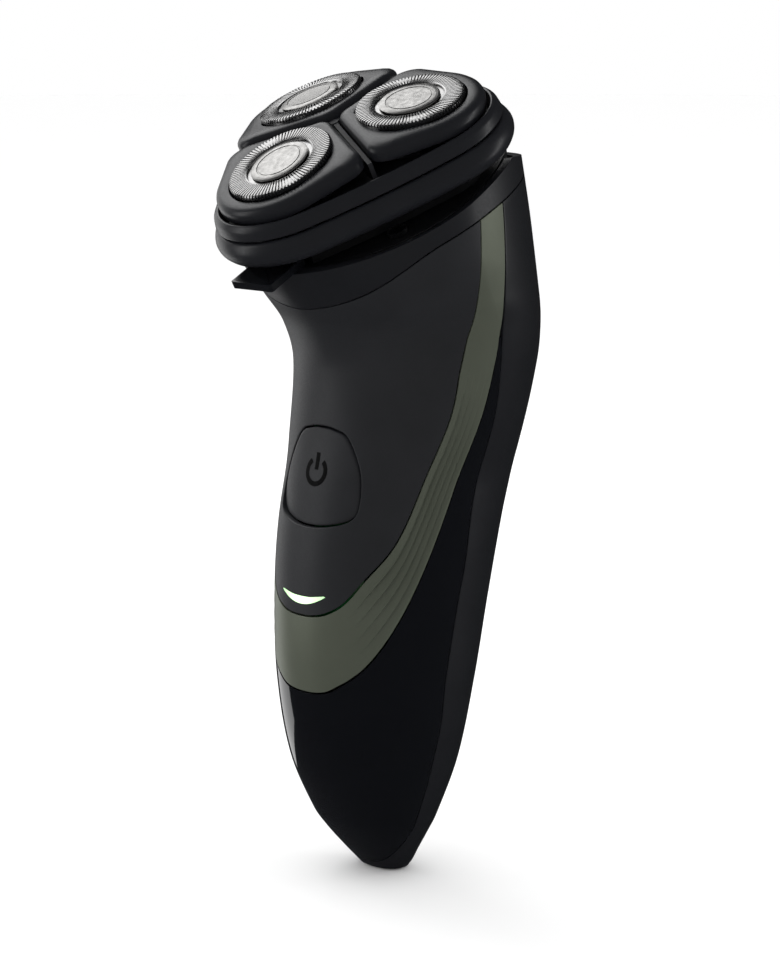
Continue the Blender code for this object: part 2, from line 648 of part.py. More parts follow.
def build_motor(looks):
    """Motor can, end cap, and the rotor with its pinion, all on the head's axis."""
    frame, hole = head_frame(), SHAFT_RADIUS + 0.4 * MM
    inside = MOTOR_RADIUS - MOTOR_WALL
    can = [(hole, MOTOR_TOP), (MOTOR_RADIUS, MOTOR_TOP), (MOTOR_RADIUS, MOTOR_FOOT), (inside, MOTOR_FOOT),
           (inside, MOTOR_TOP - MOTOR_WALL), (hole, MOTOR_TOP - MOTOR_WALL)]
    finish("motor_can", turned(can), looks["steel"], frame)
    plug, lip = inside - CLEARANCE, MOTOR_FOOT - CLEARANCE
    cap = [(hole, lip + 1.5 * MM), (plug, lip + 1.5 * MM), (plug, lip), (MOTOR_RADIUS, lip),
           (MOTOR_RADIUS, lip - 1.5 * MM), (hole, lip - 1.5 * MM)]
    finish("motor_end_cap", turned(cap), looks["dark_plastic"], frame)
    drum = inside - 1.4 * MM
    top, foot = MOTOR_TOP - MOTOR_WALL - 2.2 * MM, MOTOR_FOOT + 4.0 * MM
    rotor = [(0, GEAR_TOP), (SHAFT_RADIUS, GEAR_TOP), (SHAFT_RADIUS, top), (drum, top), (drum, foot),
             (2.6 * MM, foot), (2.6 * MM, foot - 1.8 * MM), (SHAFT_RADIUS, foot - 1.8 * MM),
             (SHAFT_RADIUS, MOTOR_FOOT - 1.2 * MM), (0, MOTOR_FOOT - 1.2 * MM)]
    rotor = finish("motor_rotor", turned(rotor, 24), looks["copper"], frame)
    outline = gear_outline(PINION_TEETH, PINION_PITCH, -math.pi / 2)
    pinion = prism(outline, GEAR_FOOT - 0.2 * MM, GEAR_TOP)
    pinion = finish("motor_pinion", pinion, looks["brass"], frame, rotor)
    drill(pinion, SHAFT_RADIUS + CLEARANCE, GEAR_FOOT - MM, GEAR_TOP + MM, frame, 12)


def build_deck(looks):
    """The chassis plate that carries motor and gears, the cover over the gears, and its two screws."""
    frame = head_frame()
    screw_reach = HEAD_RADIUS / 2 + CAP_RADIUS + 2.5 * MM
    screw_spots = [(side * screw_reach * math.cos(math.pi / 6), -screw_reach / 2) for side in (-1, 1)]
    chassis = handle_solid("drive_chassis", LINING + 2 * CLEARANCE, looks["white_plastic"])
    slab = box((-REACH, -REACH, CHASSIS_FOOT), (REACH, REACH, CHASSIS_TOP))
    combine(chassis, finish("chassis slab", slab, None, frame, cutter=True), "INTERSECT")
    cover = handle_solid("drive_cover", SHELL_WALL + CLEARANCE, looks["deck_black"])
    slab = box((-REACH, -REACH, DECK_FOOT), (REACH, REACH, DECK_TOP))
    combine(cover, finish("cover slab", slab, None, frame, cutter=True), "INTERSECT")
    rear_edge = hinge_point().y - LUG_RADIUS - 1.3 * MM
    behind = box((-REACH, rear_edge, 50 * MM), (REACH, 100 * MM, 300 * MM))
    combine(cover, finish("cover rear", behind, None, cutter=True), "DIFFERENCE")
    wall_top, wall_foot = SHELL_FOOT - 0.7 * MM, DECK_TOP - 0.3 * MM
    inner, outer = CAP_RADIUS - 3.2 * MM, CAP_RADIUS - 2.0 * MM
    pedestal = head_ring([(outer, wall_top), (outer, wall_foot), (inner, wall_foot), (inner, wall_top)], 6)
    pedestal = finish("pedestal", pedestal, None, frame, cutter=True)
    front_edge = -(HEAD_RADIUS + inner)
    gate = box((-5.9 * MM, front_edge - 3 * MM, DECK_TOP), (5.9 * MM, front_edge + 3 * MM, wall_top + MM))
    combine(pedestal, finish("latch gate", gate, None, frame, cutter=True), "DIFFERENCE")
    combine(cover, pedestal, "UNION")
    for name, angle in LOBE_ANGLES.items():
        place = spindle_frame(angle)
        tower = turned(rod(TOWER_RADIUS, DECK_TOP - 0.6 * MM, wall_top - 0.2 * MM))
        combine(cover, finish(f"tower {name}", tower, None, place, cutter=True), "UNION")
    for name, angle in LOBE_ANGLES.items():
        place = spindle_frame(angle)
        drill(cover, SPINDLE_RADIUS + CLEARANCE, DECK_FOOT - MM, wall_top + MM, place)
        drill(chassis, AXLE_RADIUS + CLEARANCE, CHASSIS_FOOT - MM, CHASSIS_TOP + MM, place, 12)
    drill(chassis, SHAFT_RADIUS + 0.6 * MM, CHASSIS_FOOT - MM, CHASSIS_TOP + MM, frame, 12)
    for side, (x, y) in zip(("left", "right"), screw_spots):
        place = frame @ Matrix.Translation((x, y, 0))
        boss = turned(rod(2.6 * MM, CHASSIS_TOP - 0.5 * MM, HUB_TOP), 16)
        combine(chassis, finish(f"boss {side}", boss, None, place, cutter=True), "UNION")
        drill(chassis, 1.4 * MM, CHASSIS_TOP, HUB_TOP + MM, place, 12)
        drill(cover, 1.4 * MM, DECK_FOOT - MM, DECK_TOP + MM, place, 12)
        head = DECK_TOP + CLEARANCE
        screw = [(0, head + 1.2 * MM), (2 * MM, head + 0.8 * MM), (2 * MM, head), (1.1 * MM, head),
                 (1.1 * MM, CHASSIS_TOP + 0.6 * MM), (0, CHASSIS_TOP + 0.6 * MM)]
        finish(f"cover_screw_{side}", turned(screw, 16), looks["steel"], place)


def build_drive(looks):
    """Per head: a gear with its stub axle, the sprung spindle that slides in its hub, and the spring."""
    bore = SPINDLE_RADIUS + CLEARANCE
    seat = HUB_FOOT + 0.5 * MM
    tip = LOBE_PIVOT + 1.5 * MM
    bar_foot = tip - 2.0 * MM
    skirt_top, skirt_foot = tip - 4.9 * MM, SHELL_FOOT + 2.3 * MM
    foot = seat + SPINDLE_TRAVEL + 1.2 * MM
    step = 2 * math.pi / PINION_TEETH
    for name, angle in LOBE_ANGLES.items():
        place = spindle_frame(angle)
        facing = math.radians(angle)
        lead = math.remainder((-math.pi / 2 - facing) / step, 1.0)
        first = facing + math.pi + (0.5 - lead) * 2 * math.pi / GEAR_TEETH
        gear = prism(gear_outline(GEAR_TEETH, GEAR_PITCH, first), GEAR_FOOT, GEAR_TOP)
        gear = finish(f"spindle_gear_{name}", gear, looks["white_plastic"], place)
        stem = [(0, HUB_TOP), (HUB_RADIUS, HUB_TOP), (HUB_RADIUS, HUB_FOOT), (AXLE_RADIUS, HUB_FOOT),
                (AXLE_RADIUS, CHASSIS_FOOT + 0.5 * MM), (0, CHASSIS_FOOT + 0.5 * MM)]
        combine(gear, finish(f"hub {name}", turned(stem), None, place, cutter=True), "UNION")
        drill(gear, bore, seat, HUB_TOP + MM, place)
        shaft = [(0, bar_foot), (1.6 * MM, bar_foot), (1.6 * MM, skirt_top), (3.0 * MM, skirt_top),
                 (3.0 * MM, skirt_foot), (SPINDLE_RADIUS, skirt_foot), (SPINDLE_RADIUS, foot), (0, foot)]
        spindle = finish(f"spindle_{name}", turned(shaft), looks["dark_plastic"], place, gear)
        bar = box((-0.65 * MM, -1.3 * MM, bar_foot - 0.5 * MM), (0.65 * MM, 1.3 * MM, tip))
        combine(spindle, finish(f"bar {name}", bar, None, place, cutter=True), "UNION")
        spring = tube(1.1 * MM, SPINDLE_RADIUS - 0.1 * MM, seat + 0.15 * MM, foot - 0.15 * MM)
        finish(f"spindle_spring_{name}", turned(spring), looks["steel"], place, gear)


def build_release(looks):
    """The release tab under the head's front edge, with the hook that holds the head, and its spring."""
    frame = head_frame()
    foot, top = COLLAR_TOP + CLEARANCE, COLLAR_TOP + 1.9 * MM
    lip = -(HEAD_RADIUS + CAP_RADIUS + 0.25 * MM)
    front, back = lip - 6.6 * MM, lip + 3.5 * MM
    slide = pivot("release_pivot", frame @ Matrix.Translation((0, lip, foot)))
    tab = box((-5.5 * MM, front, foot), (5.5 * MM, back, top))
    tab = finish("release_button", tab, looks["dark_plastic"], frame, slide)
    catch = SHELL_FOOT + 1.3 * MM
    root, stem, brow = top - 0.3 * MM, lip + 1.7 * MM, catch + 0.8 * MM
    hook = [(lip + 0.5 * MM, root), (stem, root), (stem, brow), (lip, brow), (lip - HOOK_BITE, catch),
            (lip + 0.5 * MM, catch)]
    rings = [[(x, y, z) for y, z in hook] for x in (-2 * MM, 2 * MM)]
    combine(tab, finish("release hook", skin(rings), None, frame, cutter=True), "UNION")
    tower = -(SPINDLE_CIRCLE + TOWER_RADIUS)
    place = frame @ Matrix.Translation((0, 0, (foot + top) / 2)) @ Matrix.Rotation(-math.pi / 2, 4, "X")
    spring = tube(0.6 * MM, 1.0 * MM, back + 0.2 * MM, tower - 0.3 * MM)
    finish("release_spring", turned(spring, 16), looks["steel"], place)


def build_head(looks):
    """The opening head on its hinge pivot: lower shell with its arm, bezel, and the lobes' frame."""
    frame = head_frame()
    hinge = pivot("head_pivot", hinge_frame())
    edge = LOBE_RADIUS
    shell = [(edge + 1.7 * MM, SHELL_TOP), (edge + 2.4 * MM, -9.4 * MM), (edge + 2.9 * MM, -10.6 * MM),
             (edge + 2.9 * MM, -11.6 * MM), (edge + 2.3 * MM, -12.8 * MM), (edge + 1.1 * MM, SHELL_FOOT),
             (CAP_RADIUS + 0.25 * MM, SHELL_FOOT), (CAP_RADIUS + 0.25 * MM, SHELL_FOOT + MM),
             (edge + 0.3 * MM, SHELL_FOOT + 1.2 * MM), (edge + 1.2 * MM, -11.5 * MM),
             (edge + 1.2 * MM, -10.6 * MM), (edge + 0.2 * MM, SHELL_TOP)]
    head = finish("head_shell", head_ring(shell), looks["head_black"], frame, hinge)
    pin = hinge_point()
    side = HEAD_RADIUS / 2 + SIDE_BULGE
    root = frame @ Vector((0, side + edge + 0.6 * MM, SHELL_FOOT + 1.0 * MM))
    rise = math.degrees(math.atan2(root.z - pin.z, root.y - pin.y))
    arm = side_arc((pin.y, pin.z), LUG_RADIUS, rise - 270, rise - 90) + side_arc(
        (root.y, root.z), 1.5 * MM, rise - 90, rise + 90)
    combine(head, across("hinge arm", arm, LUG_INNER - CLEARANCE), "UNION")
    drill(head, HINGE_PIN_RADIUS + CLEARANCE, -HINGE_HOLE, HINGE_HOLE, hinge_frame())

    bezel = [(edge + 0.7 * MM, BEZEL_TOP), (edge + 1.2 * MM, BEZEL_TOP - MM), (edge + 1.7 * MM, BEZEL_FOOT),
             (edge - 0.2 * MM, BEZEL_FOOT), (edge - 0.2 * MM, -10.1 * MM), (edge - 1.9 * MM, -10.1 * MM),
             (edge - 1.9 * MM, -9.1 * MM), (edge - 0.8 * MM, -9.1 * MM), (edge - 0.8 * MM, -7.0 * MM),
             (edge - 0.1 * MM, -6.4 * MM), (edge - 0.1 * MM, BEZEL_TOP)]
    finish("head_bezel", head_ring(bezel), looks["head_black"], frame, hinge)

    plate = head_outline(edge - 1.1 * MM)
    holder = prism(plate, FRAME_FOOT, FRAME_TOP)
    holder = finish("retaining_frame", holder, looks["dark_plastic"], frame, hinge)
    middle = turned(rod(0.95 * MM, FRAME_FOOT + 0.1 * MM, -0.8 * MM), 18)
    combine(holder, finish("rib middle", middle, None, frame, cutter=True), "UNION")
    for name, angle in LOBE_ANGLES.items():
        drill(holder, 6.0 * MM, FRAME_FOOT - MM, FRAME_TOP + MM, spindle_frame(angle), 24)
        turn = frame @ Matrix.Rotation(math.radians(angle + 60), 4, "Z")
        half, reach = 0.45 * MM, HEAD_RADIUS + 4.5 * MM
        side_view = [(0.6 * MM, FRAME_FOOT + 0.2 * MM), (reach, FRAME_FOOT + 0.2 * MM), (reach, -3.2 * MM),
                     (0.6 * MM, -0.9 * MM)]
        rib = skin([[(x, y, z) for x, z in side_view] for y in (-half, half)])
        combine(holder, finish(f"rib {name}", rib, None, turn, cutter=True), "UNION")
        local = lobe_frame(angle)
        for side_name, sign in (("a", -1), ("b", 1)):
            near, far = sign * (CAP_RADIUS - 2.2 * MM), sign * (CAP_RADIUS - 1.1 * MM)
            post = box((-2.2 * MM, min(near, far), FRAME_TOP - 0.9 * MM),
                       (2.2 * MM, max(near, far), LOBE_PIVOT + 0.7 * MM))
            post = finish(f"post {name} {side_name}", post, None, local, cutter=True)
            notch = box((-1.05 * MM, min(near, far) - MM, LOBE_PIVOT - 1.05 * MM),
                        (1.05 * MM, max(near, far) + MM, LOBE_PIVOT + 2 * MM))
            combine(post, finish(f"notch {name} {side_name}", notch, None, local, cutter=True), "DIFFERENCE")
            combine(holder, post, "UNION")
    return hinge


def build_lobe(name, angle, looks, hinge):
    """One pivoting lobe with its cap, badge and retainer, and the cutter that spins in it."""
    frame, local = head_frame(), lobe_frame(angle)
    swing = pivot(f"lobe_pivot_{name}", local @ Matrix.Translation((0, 0, LOBE_PIVOT)), hinge)
    inward = -(HEAD_RADIUS - LOBE_POINT)
    lean = math.acos((LOBE_RADIUS - POINT_RADIUS) / -inward)
    steps = 28
    outline = [(LOBE_RADIUS * math.cos(a), LOBE_RADIUS * math.sin(a))
               for a in (-(math.pi - lean) + 2 * (math.pi - lean) * i / steps for i in range(steps + 1))]
    outline += [(inward + POINT_RADIUS * math.cos(a), POINT_RADIUS * math.sin(a))
                for a in (math.pi - lean + 2 * lean * i / 4 for i in range(5))]
    bm = prism(outline, LOBE_TOP - 3.2 * MM, LOBE_TOP)
    for turn in (-60, 60):
        gap = math.radians(angle + turn)
        away = Vector((math.cos(gap + math.copysign(math.pi / 2, turn)),
                       math.sin(gap + math.copysign(math.pi / 2, turn)), 0))
        to_local = local.inverted() @ frame
        bmesh.ops.bisect_plane(bm, geom=bm.verts[:] + bm.edges[:] + bm.faces[:],
                               plane_co=to_local @ (-away * LOBE_GAP / 2),
                               plane_no=to_local.to_3x3() @ away, clear_outer=True)
        bmesh.ops.edgeloop_fill(bm, edges=[edge for edge in bm.edges if edge.is_boundary])
    top_edges = [e for e in bm.edges if all(abs(v.co.z - LOBE_TOP) < 1e-6 for v in e.verts)
                 and len(e.link_faces) == 2]
    bmesh.ops.bevel(bm, geom=top_edges, offset=0.6 * MM, segments=2, affect="EDGES", profile=0.5)
    lobe = finish(f"lobe_{name}", bm, looks["head_black"], local, swing)
    mouth, well = CAP_RADIUS + CLEARANCE, CAP_RADIUS + 0.85 * MM
    bore = [(0, LOBE_TOP + MM), (mouth, LOBE_TOP + MM), (mouth, LOBE_TOP - 1.4 * MM),
            (well, LOBE_TOP - 1.4 * MM), (well, LOBE_TOP - 6 * MM), (0, LOBE_TOP - 6 * MM)]
    bore = finish(f"bore {name}", turned(bore), None, local, cutter=True)
    combine(lobe, bore, "DIFFERENCE", "MANIFOLD")

    track = CAP_RADIUS - 3.85 * MM
    flange = well - CLEARANCE
    under = LOBE_TOP - 1.4 * MM - CLEARANCE
    cap = [(track - 1.2 * MM, -0.5 * MM), (track - 0.1 * MM, -0.5 * MM), (track + 0.3 * MM, 0),
           (CAP_RADIUS - 0.6 * MM, 0), (CAP_RADIUS, -0.6 * MM), (CAP_RADIUS, under), (flange, under),
           (flange, under - CAP_WALL), (CAP_RADIUS - CAP_WALL, under - CAP_WALL),
           (CAP_RADIUS - CAP_WALL, -CAP_WALL - 0.3 * MM), (track, -CAP_WALL), (track - 0.4 * MM, -1.0 * MM),
           (track - 1.2 * MM, -1.0 * MM)]
    finish(f"shaving_cap_{name}", turned(cap, 24), looks["chrome"], local, swing)
    badge = track - 0.9 * MM
    plug = track - 1.2 * MM - CLEARANCE
    disc = [(0, 0.15 * MM), (badge - 0.3 * MM, 0.15 * MM), (badge, -0.2 * MM), (plug, -0.2 * MM),
            (plug, -1.2 * MM), (0, -1.2 * MM)]
    finish(f"cap_badge_{name}", turned(disc), looks["badge"], local, swing)

    ring_top = under - CAP_WALL - CLEARANCE - 0.1 * MM
    ring_foot = LOBE_PIVOT + 1.0 * MM
    inner = CAP_RADIUS - 1.35 * MM
    retainer = turned(tube(inner, flange - 0.1 * MM, ring_foot, ring_top))
    retainer = finish(f"cap_retainer_{name}", retainer, looks["dark_plastic"], local, swing)
    for side_name, sign in (("a", -1), ("b", 1)):
        near, far = sign * (CAP_RADIUS - 0.8 * MM), sign * (CAP_RADIUS + 0.25 * MM)
        ear = box((-1.2 * MM, min(near, far), LOBE_PIVOT - 0.9 * MM),
                  (1.2 * MM, max(near, far), ring_foot + 0.3 * MM))
        combine(retainer, finish(f"ear {name} {side_name}", ear, None, local, cutter=True), "UNION")
        sideways = Matrix.Rotation(-math.pi / 2 * sign, 4, "X")
        pin_place = local @ Matrix.Translation((0, 0, LOBE_PIVOT)) @ sideways
        pin = turned(rod(0.7 * MM, CAP_RADIUS - 2.2 * MM, CAP_RADIUS - 0.4 * MM), 10)
        combine(retainer, finish(f"trunnion {name} {side_name}", pin, None, pin_place, cutter=True), "UNION")

    top, disc_top, disc_foot = -CAP_WALL - 0.4 * MM, -2.6 * MM, -3.5 * MM
    hub_foot = LOBE_PIVOT + 0.4 * MM
    outer = CAP_RADIUS - CAP_WALL - CLEARANCE - 0.2 * MM
    cutter = [(0, -1.6 * MM), (4.0 * MM, -1.6 * MM), (4.0 * MM, disc_top), (track + 0.4 * MM, disc_top),
              (track + 0.4 * MM, top), (outer, top), (outer, disc_top), (outer - 1.25 * MM, disc_foot),
              (4.0 * MM, disc_foot), (4.0 * MM, hub_foot), (0, hub_foot)]
    blades = finish(f"cutter_{name}", turned(cutter), looks["steel"], local, swing)
    rearward = local.to_3x3().inverted() @ frame.to_3x3() @ Vector((0, 1, 0))
    place = local @ Matrix.Rotation(math.atan2(rearward.y, rearward.x), 4, "Z")
    slot = box((-3.0 * MM, -1.0 * MM, hub_foot - MM), (3.0 * MM, 1.0 * MM, hub_foot + 1.7 * MM))
    combine(blades, finish(f"slot {name}", slot, None, place, cutter=True), "DIFFERENCE")
    for i in range(2):
        turn = local @ Matrix.Rotation(math.pi * i / 2, 4, "Z")
        gap = box((-CAP_RADIUS, -0.7 * MM, top - 0.9 * MM), (CAP_RADIUS, 0.7 * MM, top + MM))
        combine(blades, finish(f"blade gap {name} {i}", gap, None, turn, cutter=True), "DIFFERENCE")


def main():
    """Clears the scene and builds every piece."""
    clear_scene()
    looks = {
        "soft_black": material("Soft-touch black", "1b1c20", 0.55),
        "rear_black": material("Satin black", "16171b", 0.42),
        "gloss_black": material("Gloss black", "0b0c10", 0.08),
        "trim": material("Olive satin", "6f7466", 0.4),
        "collar": material("Collar black", "191a1e", 0.45),
        "head_black": material("Head black", "17181c", 0.35),
        "deck_black": material("Deck black", "141518", 0.5),
        "dark_plastic": material("Dark plastic", "202126", 0.5),
        "white_plastic": material("White acetal", "d9d8d0", 0.45),
        "chrome": material("Cap steel", "c9c8c6", 0.22, 1.0),
        "badge": material("Badge silver", "d2d1cf", 0.35, 1.0),
        "steel": material("Steel", "9a9a9c", 0.35, 1.0),
        "nickel": material("Nickel", "bdbab2", 0.3, 1.0),
        "copper": material("Copper winding", "a8643a", 0.4, 1.0),
        "brass": material("Brass", "b8954e", 0.3, 1.0),
        "cell": material("Cell sleeve", "3d6b4f", 0.4),
        "board": material("Circuit board", "1f5a3a", 0.5),
        "lens": material("Light window", "d8f5d8", 0.3),
    }
    front = build_housings(looks)
    build_collar(looks)
    build_button(looks, front)
    build_window(looks, front)
    build_electrics(looks)
    build_motor(looks)
    build_deck(looks)
    build_drive(looks)
    build_release(looks)
    hinge = build_head(looks)
    for name, angle in LOBE_ANGLES.items():
        build_lobe(name, angle, looks, hinge)


main()
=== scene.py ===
"""Looks of a cordless rotary shaver: fine shells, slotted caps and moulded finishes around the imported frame."""

import json
import logging
import math
from collections.abc import Callable, Sequence
from dataclasses import dataclass, field
from enum import Enum

import bpy
import numpy as np
from mathutils import Matrix, Vector


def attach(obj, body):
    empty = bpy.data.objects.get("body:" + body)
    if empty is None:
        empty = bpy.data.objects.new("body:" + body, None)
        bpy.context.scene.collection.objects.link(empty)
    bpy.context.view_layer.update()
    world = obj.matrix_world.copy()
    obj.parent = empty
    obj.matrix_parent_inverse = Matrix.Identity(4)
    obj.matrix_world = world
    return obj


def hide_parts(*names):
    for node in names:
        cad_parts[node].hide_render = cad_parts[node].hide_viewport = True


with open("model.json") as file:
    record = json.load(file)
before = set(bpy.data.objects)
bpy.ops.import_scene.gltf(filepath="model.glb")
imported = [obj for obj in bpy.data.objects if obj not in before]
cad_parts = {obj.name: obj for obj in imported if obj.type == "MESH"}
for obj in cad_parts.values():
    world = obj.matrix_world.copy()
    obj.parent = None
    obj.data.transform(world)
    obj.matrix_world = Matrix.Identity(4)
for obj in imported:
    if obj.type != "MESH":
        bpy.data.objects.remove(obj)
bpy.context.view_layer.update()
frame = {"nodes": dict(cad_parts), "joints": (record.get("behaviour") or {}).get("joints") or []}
LOG = logging.getLogger("shaver")
MM = 0.001
MERGE = 1e-6
MIRROR_MERGE = 1e-5
Array = np.ndarray
Place = Callable[[Array, Array], Array]


# ---------------------------------------------------------------- modelling helpers


def deselect() -> None:
    """Leaves object mode with nothing selected, so that an operator meets only the new piece."""
    if bpy.context.mode != "OBJECT":
        bpy.ops.object.mode_set(mode="OBJECT")
    bpy.ops.object.select_all(action="DESELECT")


def activate(piece: bpy.types.Object) -> None:
    """Makes one piece the selected and active one."""
    deselect()
    piece.select_set(True)
    bpy.context.view_layer.objects.active = piece


def edit_all(piece: bpy.types.Object) -> None:
    """Enters edit mode on one piece with all of it selected."""
    activate(piece)
    bpy.ops.object.mode_set(mode="EDIT")
    bpy.ops.mesh.select_all(action="SELECT")


def newest(name: str) -> bpy.types.Object:
    """The piece that an operator has just added, under its own name."""
    piece = bpy.context.object
    piece.name = piece.data.name = name
    return piece


def outline_of(name: str, points: Sequence[tuple[float, float, float]], fill: str) -> bpy.types.Object:
    """A closed outline, left in edit mode with all of it selected.

    Args:
        name: The piece's name.
        points: Its points in order.
        fill: NGON for a face inside it, NOTHING for none.

    Returns:
        The new piece.
    """
    deselect()
    bpy.ops.mesh.primitive_circle_add(vertices=len(points), radius=1, fill_type=fill)
    piece = newest(name)
    for vertex, point in zip(piece.data.vertices, points):
        vertex.co = point
    edit_all(piece)
    return piece


def tidy_mesh(piece: bpy.types.Object, outward: bool = True) -> None:
    """Merges doubles and, on request, turns the faces outward.

    Args:
        piece: The piece to clean.
        outward: Whether a closed piece's normals are recalculated.
    """
    edit_all(piece)
    bpy.ops.mesh.remove_doubles(threshold=MERGE)
    bpy.ops.mesh.dissolve_degenerate(threshold=MERGE / 10)
    if outward:
        bpy.ops.mesh.normals_make_consistent(inside=False)
    bpy.ops.object.mode_set(mode="OBJECT")


def grid(name: str, columns: int, rows: int, place: Place) -> bpy.types.Object:
    """A grid whose points move to where a rule places them.

    Args:
        name: The piece's name.
        columns: Faces along u.
        rows: Faces along v.
        place: Takes u and v from 0 to 1 and gives one point for each.

    Returns:
        The new piece, with doubles merged where the rule closes it.
    """
    deselect()
    bpy.ops.mesh.primitive_grid_add(x_subdivisions=columns, y_subdivisions=rows, size=2)
    piece = newest(name)
    flat = np.empty(len(piece.data.vertices) * 3, np.float32)
    piece.data.vertices.foreach_get("co", flat)
    u, v = (flat.reshape(-1, 3)[:, :2].astype(float).T + 1) / 2
    piece.data.vertices.foreach_set("co", place(u, v).astype(np.float32).ravel())
    piece.data.update()
    tidy_mesh(piece, outward=False)
    return piece


def change(piece: bpy.types.Object, kind: str, **settings: object) -> None:
    """Adds one modifier and applies it.

    Args:
        piece: The piece to change.
        kind: The modifier's type.
        settings: The modifier's own settings.
    """
    activate(piece)
    modifier = piece.modifiers.new(kind.title(), kind)
    for key, value in settings.items():
        setattr(modifier, key, value)
    bpy.ops.object.modifier_apply(modifier=modifier.name)


def cut(piece: bpy.types.Object, tool: bpy.types.Object, operation: str = "DIFFERENCE") -> None:
    """Applies a Boolean and removes its tool."""
    change(piece, "BOOLEAN", operation=operation, object=tool, solver="EXACT")
    bpy.data.objects.remove(tool, do_unlink=True)


def orient(piece: bpy.types.Object, outward: Callable[[bpy.types.MeshPolygon], float]) -> None:
    """Turns an open skin's faces the right way.

    Args:
        piece: The skin.
        outward: Says of one face how far it points the right way, below zero for the wrong way.
    """
    tidy_mesh(piece)
    if sum(outward(face) * face.area for face in piece.data.polygons) < 0:
        edit_all(piece)
        bpy.ops.mesh.flip_normals()
        bpy.ops.object.mode_set(mode="OBJECT")


def from_middle(face: bpy.types.MeshPolygon) -> float:
    """How far a face points away from the handle's middle."""
    return face.normal.dot((face.center - Vector((0, 0, 80 * MM))).normalized())


def smooth(piece: bpy.types.Object, degrees: float = 38.0) -> None:
    """Shades a piece smooth, apart from edges sharper than the angle."""
    activate(piece)
    bpy.ops.object.shade_smooth_by_angle(angle=math.radians(degrees))


def shell(piece: bpy.types.Object, wall: float, edge: float) -> None:
    """Gives an open skin its wall, inward, and rounds its rims.

    Args:
        piece: The skin, whose faces already point outward.
        wall: The wall's thickness.
        edge: The radius of the rim.
    """
    change(piece, "SOLIDIFY", thickness=wall, offset=-1.0, use_even_offset=False, use_rim=True)
    change(piece, "BEVEL", width=edge, segments=3, limit_method="ANGLE", angle_limit=math.radians(55),
           use_clamp_overlap=True)
    smooth(piece)


def spun(name: str, profile: Sequence[tuple[float, float]], steps: int) -> bpy.types.Object:
    """A turned piece about the z axis.

    Args:
        name: The piece's name.
        profile: Radius and height of each point, down the outside; it closes on itself off the axis.
        steps: Faces round the axis.

    Returns:
        The closed piece.
    """
    piece = outline_of(name, [(radius, 0, height) for radius, height in profile], "NOTHING")
    bpy.ops.mesh.spin(steps=steps, angle=2 * math.pi, center=(0, 0, 0), axis=(0, 0, 1))
    bpy.ops.object.mode_set(mode="OBJECT")
    tidy_mesh(piece)
    return piece


def slab(name: str, outline: Sequence[tuple[float, float]], low: float, high: float,
         edge: float) -> bpy.types.Object:
    """A side-view outline of y and z, extruded across from one x to another, with rounded edges.

    Args:
        name: The piece's name.
        outline: The corners in order.
        low: The x where it starts.
        high: The x where it ends.
        edge: The radius of its long edges.

    Returns:
        The closed piece.
    """
    piece = outline_of(name, [(low, y, z) for y, z in outline], "NGON")
    bpy.ops.mesh.extrude_region_move(TRANSFORM_OT_translate={"value": (high - low, 0, 0)})
    bpy.ops.object.mode_set(mode="OBJECT")
    tidy_mesh(piece)
    change(piece, "BEVEL", width=edge, segments=3, limit_method="ANGLE", angle_limit=math.radians(50))
    smooth(piece)
    return piece


def side_arc(centre: tuple[float, float], radius: float, start: float, end: float,
             steps: int = 24) -> list[tuple[float, float]]:
    """An arc in side view, in degrees from the rear."""
    turns = np.radians(np.linspace(start, end, steps + 1))
    return [(centre[0] + radius * math.cos(t), centre[1] + radius * math.sin(t)) for t in turns]


def rounded(points: Sequence[tuple[float, float]], radius: float, steps: int = 3) -> list[tuple[float, float]]:
    """A closed outline with its corners rounded.

    Args:
        points: The corners.
        radius: The largest rounding; a short side limits it.
        steps: Faces at each corner.

    Returns:
        The finer outline.
    """
    made = []
    count = len(points)
    for i in range(count):
        before, here, after = (Vector(points[(i + k) % count]) for k in (-1, 0, 1))
        first, second = before - here, after - here
        reach = min(radius, 0.45 * first.length, 0.45 * second.length)
        start, end = here + first.normalized() * reach, here + second.normalized() * reach
        for k in range(steps + 1):
            t = k / steps
            made.append(tuple(start * (1 - t) ** 2 + here * 2 * t * (1 - t) + end * t * t))
    return made


def smooth_step(value: Array, low: float, high: float) -> Array:
    """0 below low and 1 above high, eased in between."""
    t = np.clip((value - low) / (high - low), 0, 1)
    return t * t * (3 - 2 * t)


def between(value: Array, rise: float, full: float, fall: float, end: float) -> Array:
    """1 from full to fall, eased to 0 at rise and at end."""
    return smooth_step(value, rise, full) * (1 - smooth_step(value, fall, end))


def in_mm(points: Sequence[tuple[float, float]], out: float = 0.0) -> list[tuple[float, float]]:
    """Profile points of radius and height in millimetres, as metres, moved out by a radius in metres."""
    return [(out + radius * MM, height * MM) for radius, height in points]


def through(points: Array, steps: int) -> Array:
    """A curve through every point but the first and the last, which only steer it.

    Args:
        points: The points, with a steering one at each end.
        steps: Points from each to the next.

    Returns:
        The finer curve.
    """
    t = np.linspace(0, 1, steps, endpoint=False)[:, None]
    parts = [0.5 * (2 * b + (c - a) * t + (2 * a - 5 * b + 4 * c - d) * t**2 + (3 * b - a - 3 * c + d) * t**3)
             for a, b, c, d in zip(points, points[1:], points[2:], points[3:])]
    return np.concatenate([*parts, points[-2:-1]])


def copied(model: bpy.types.Object, name: str, place: Matrix) -> bpy.types.Object:
    """A copy of a model with its own mesh, moved to a place.

    Args:
        model: The piece modelled about the origin.
        name: The copy's name.
        place: Where the copy goes.

    Returns:
        The copy, with its place in its mesh.
    """
    piece = model.copy()
    piece.data = model.data.copy()
    piece.name = piece.data.name = name
    bpy.context.collection.objects.link(piece)
    piece.data.transform(place)
    return piece


# ---------------------------------------------------------------- finishes


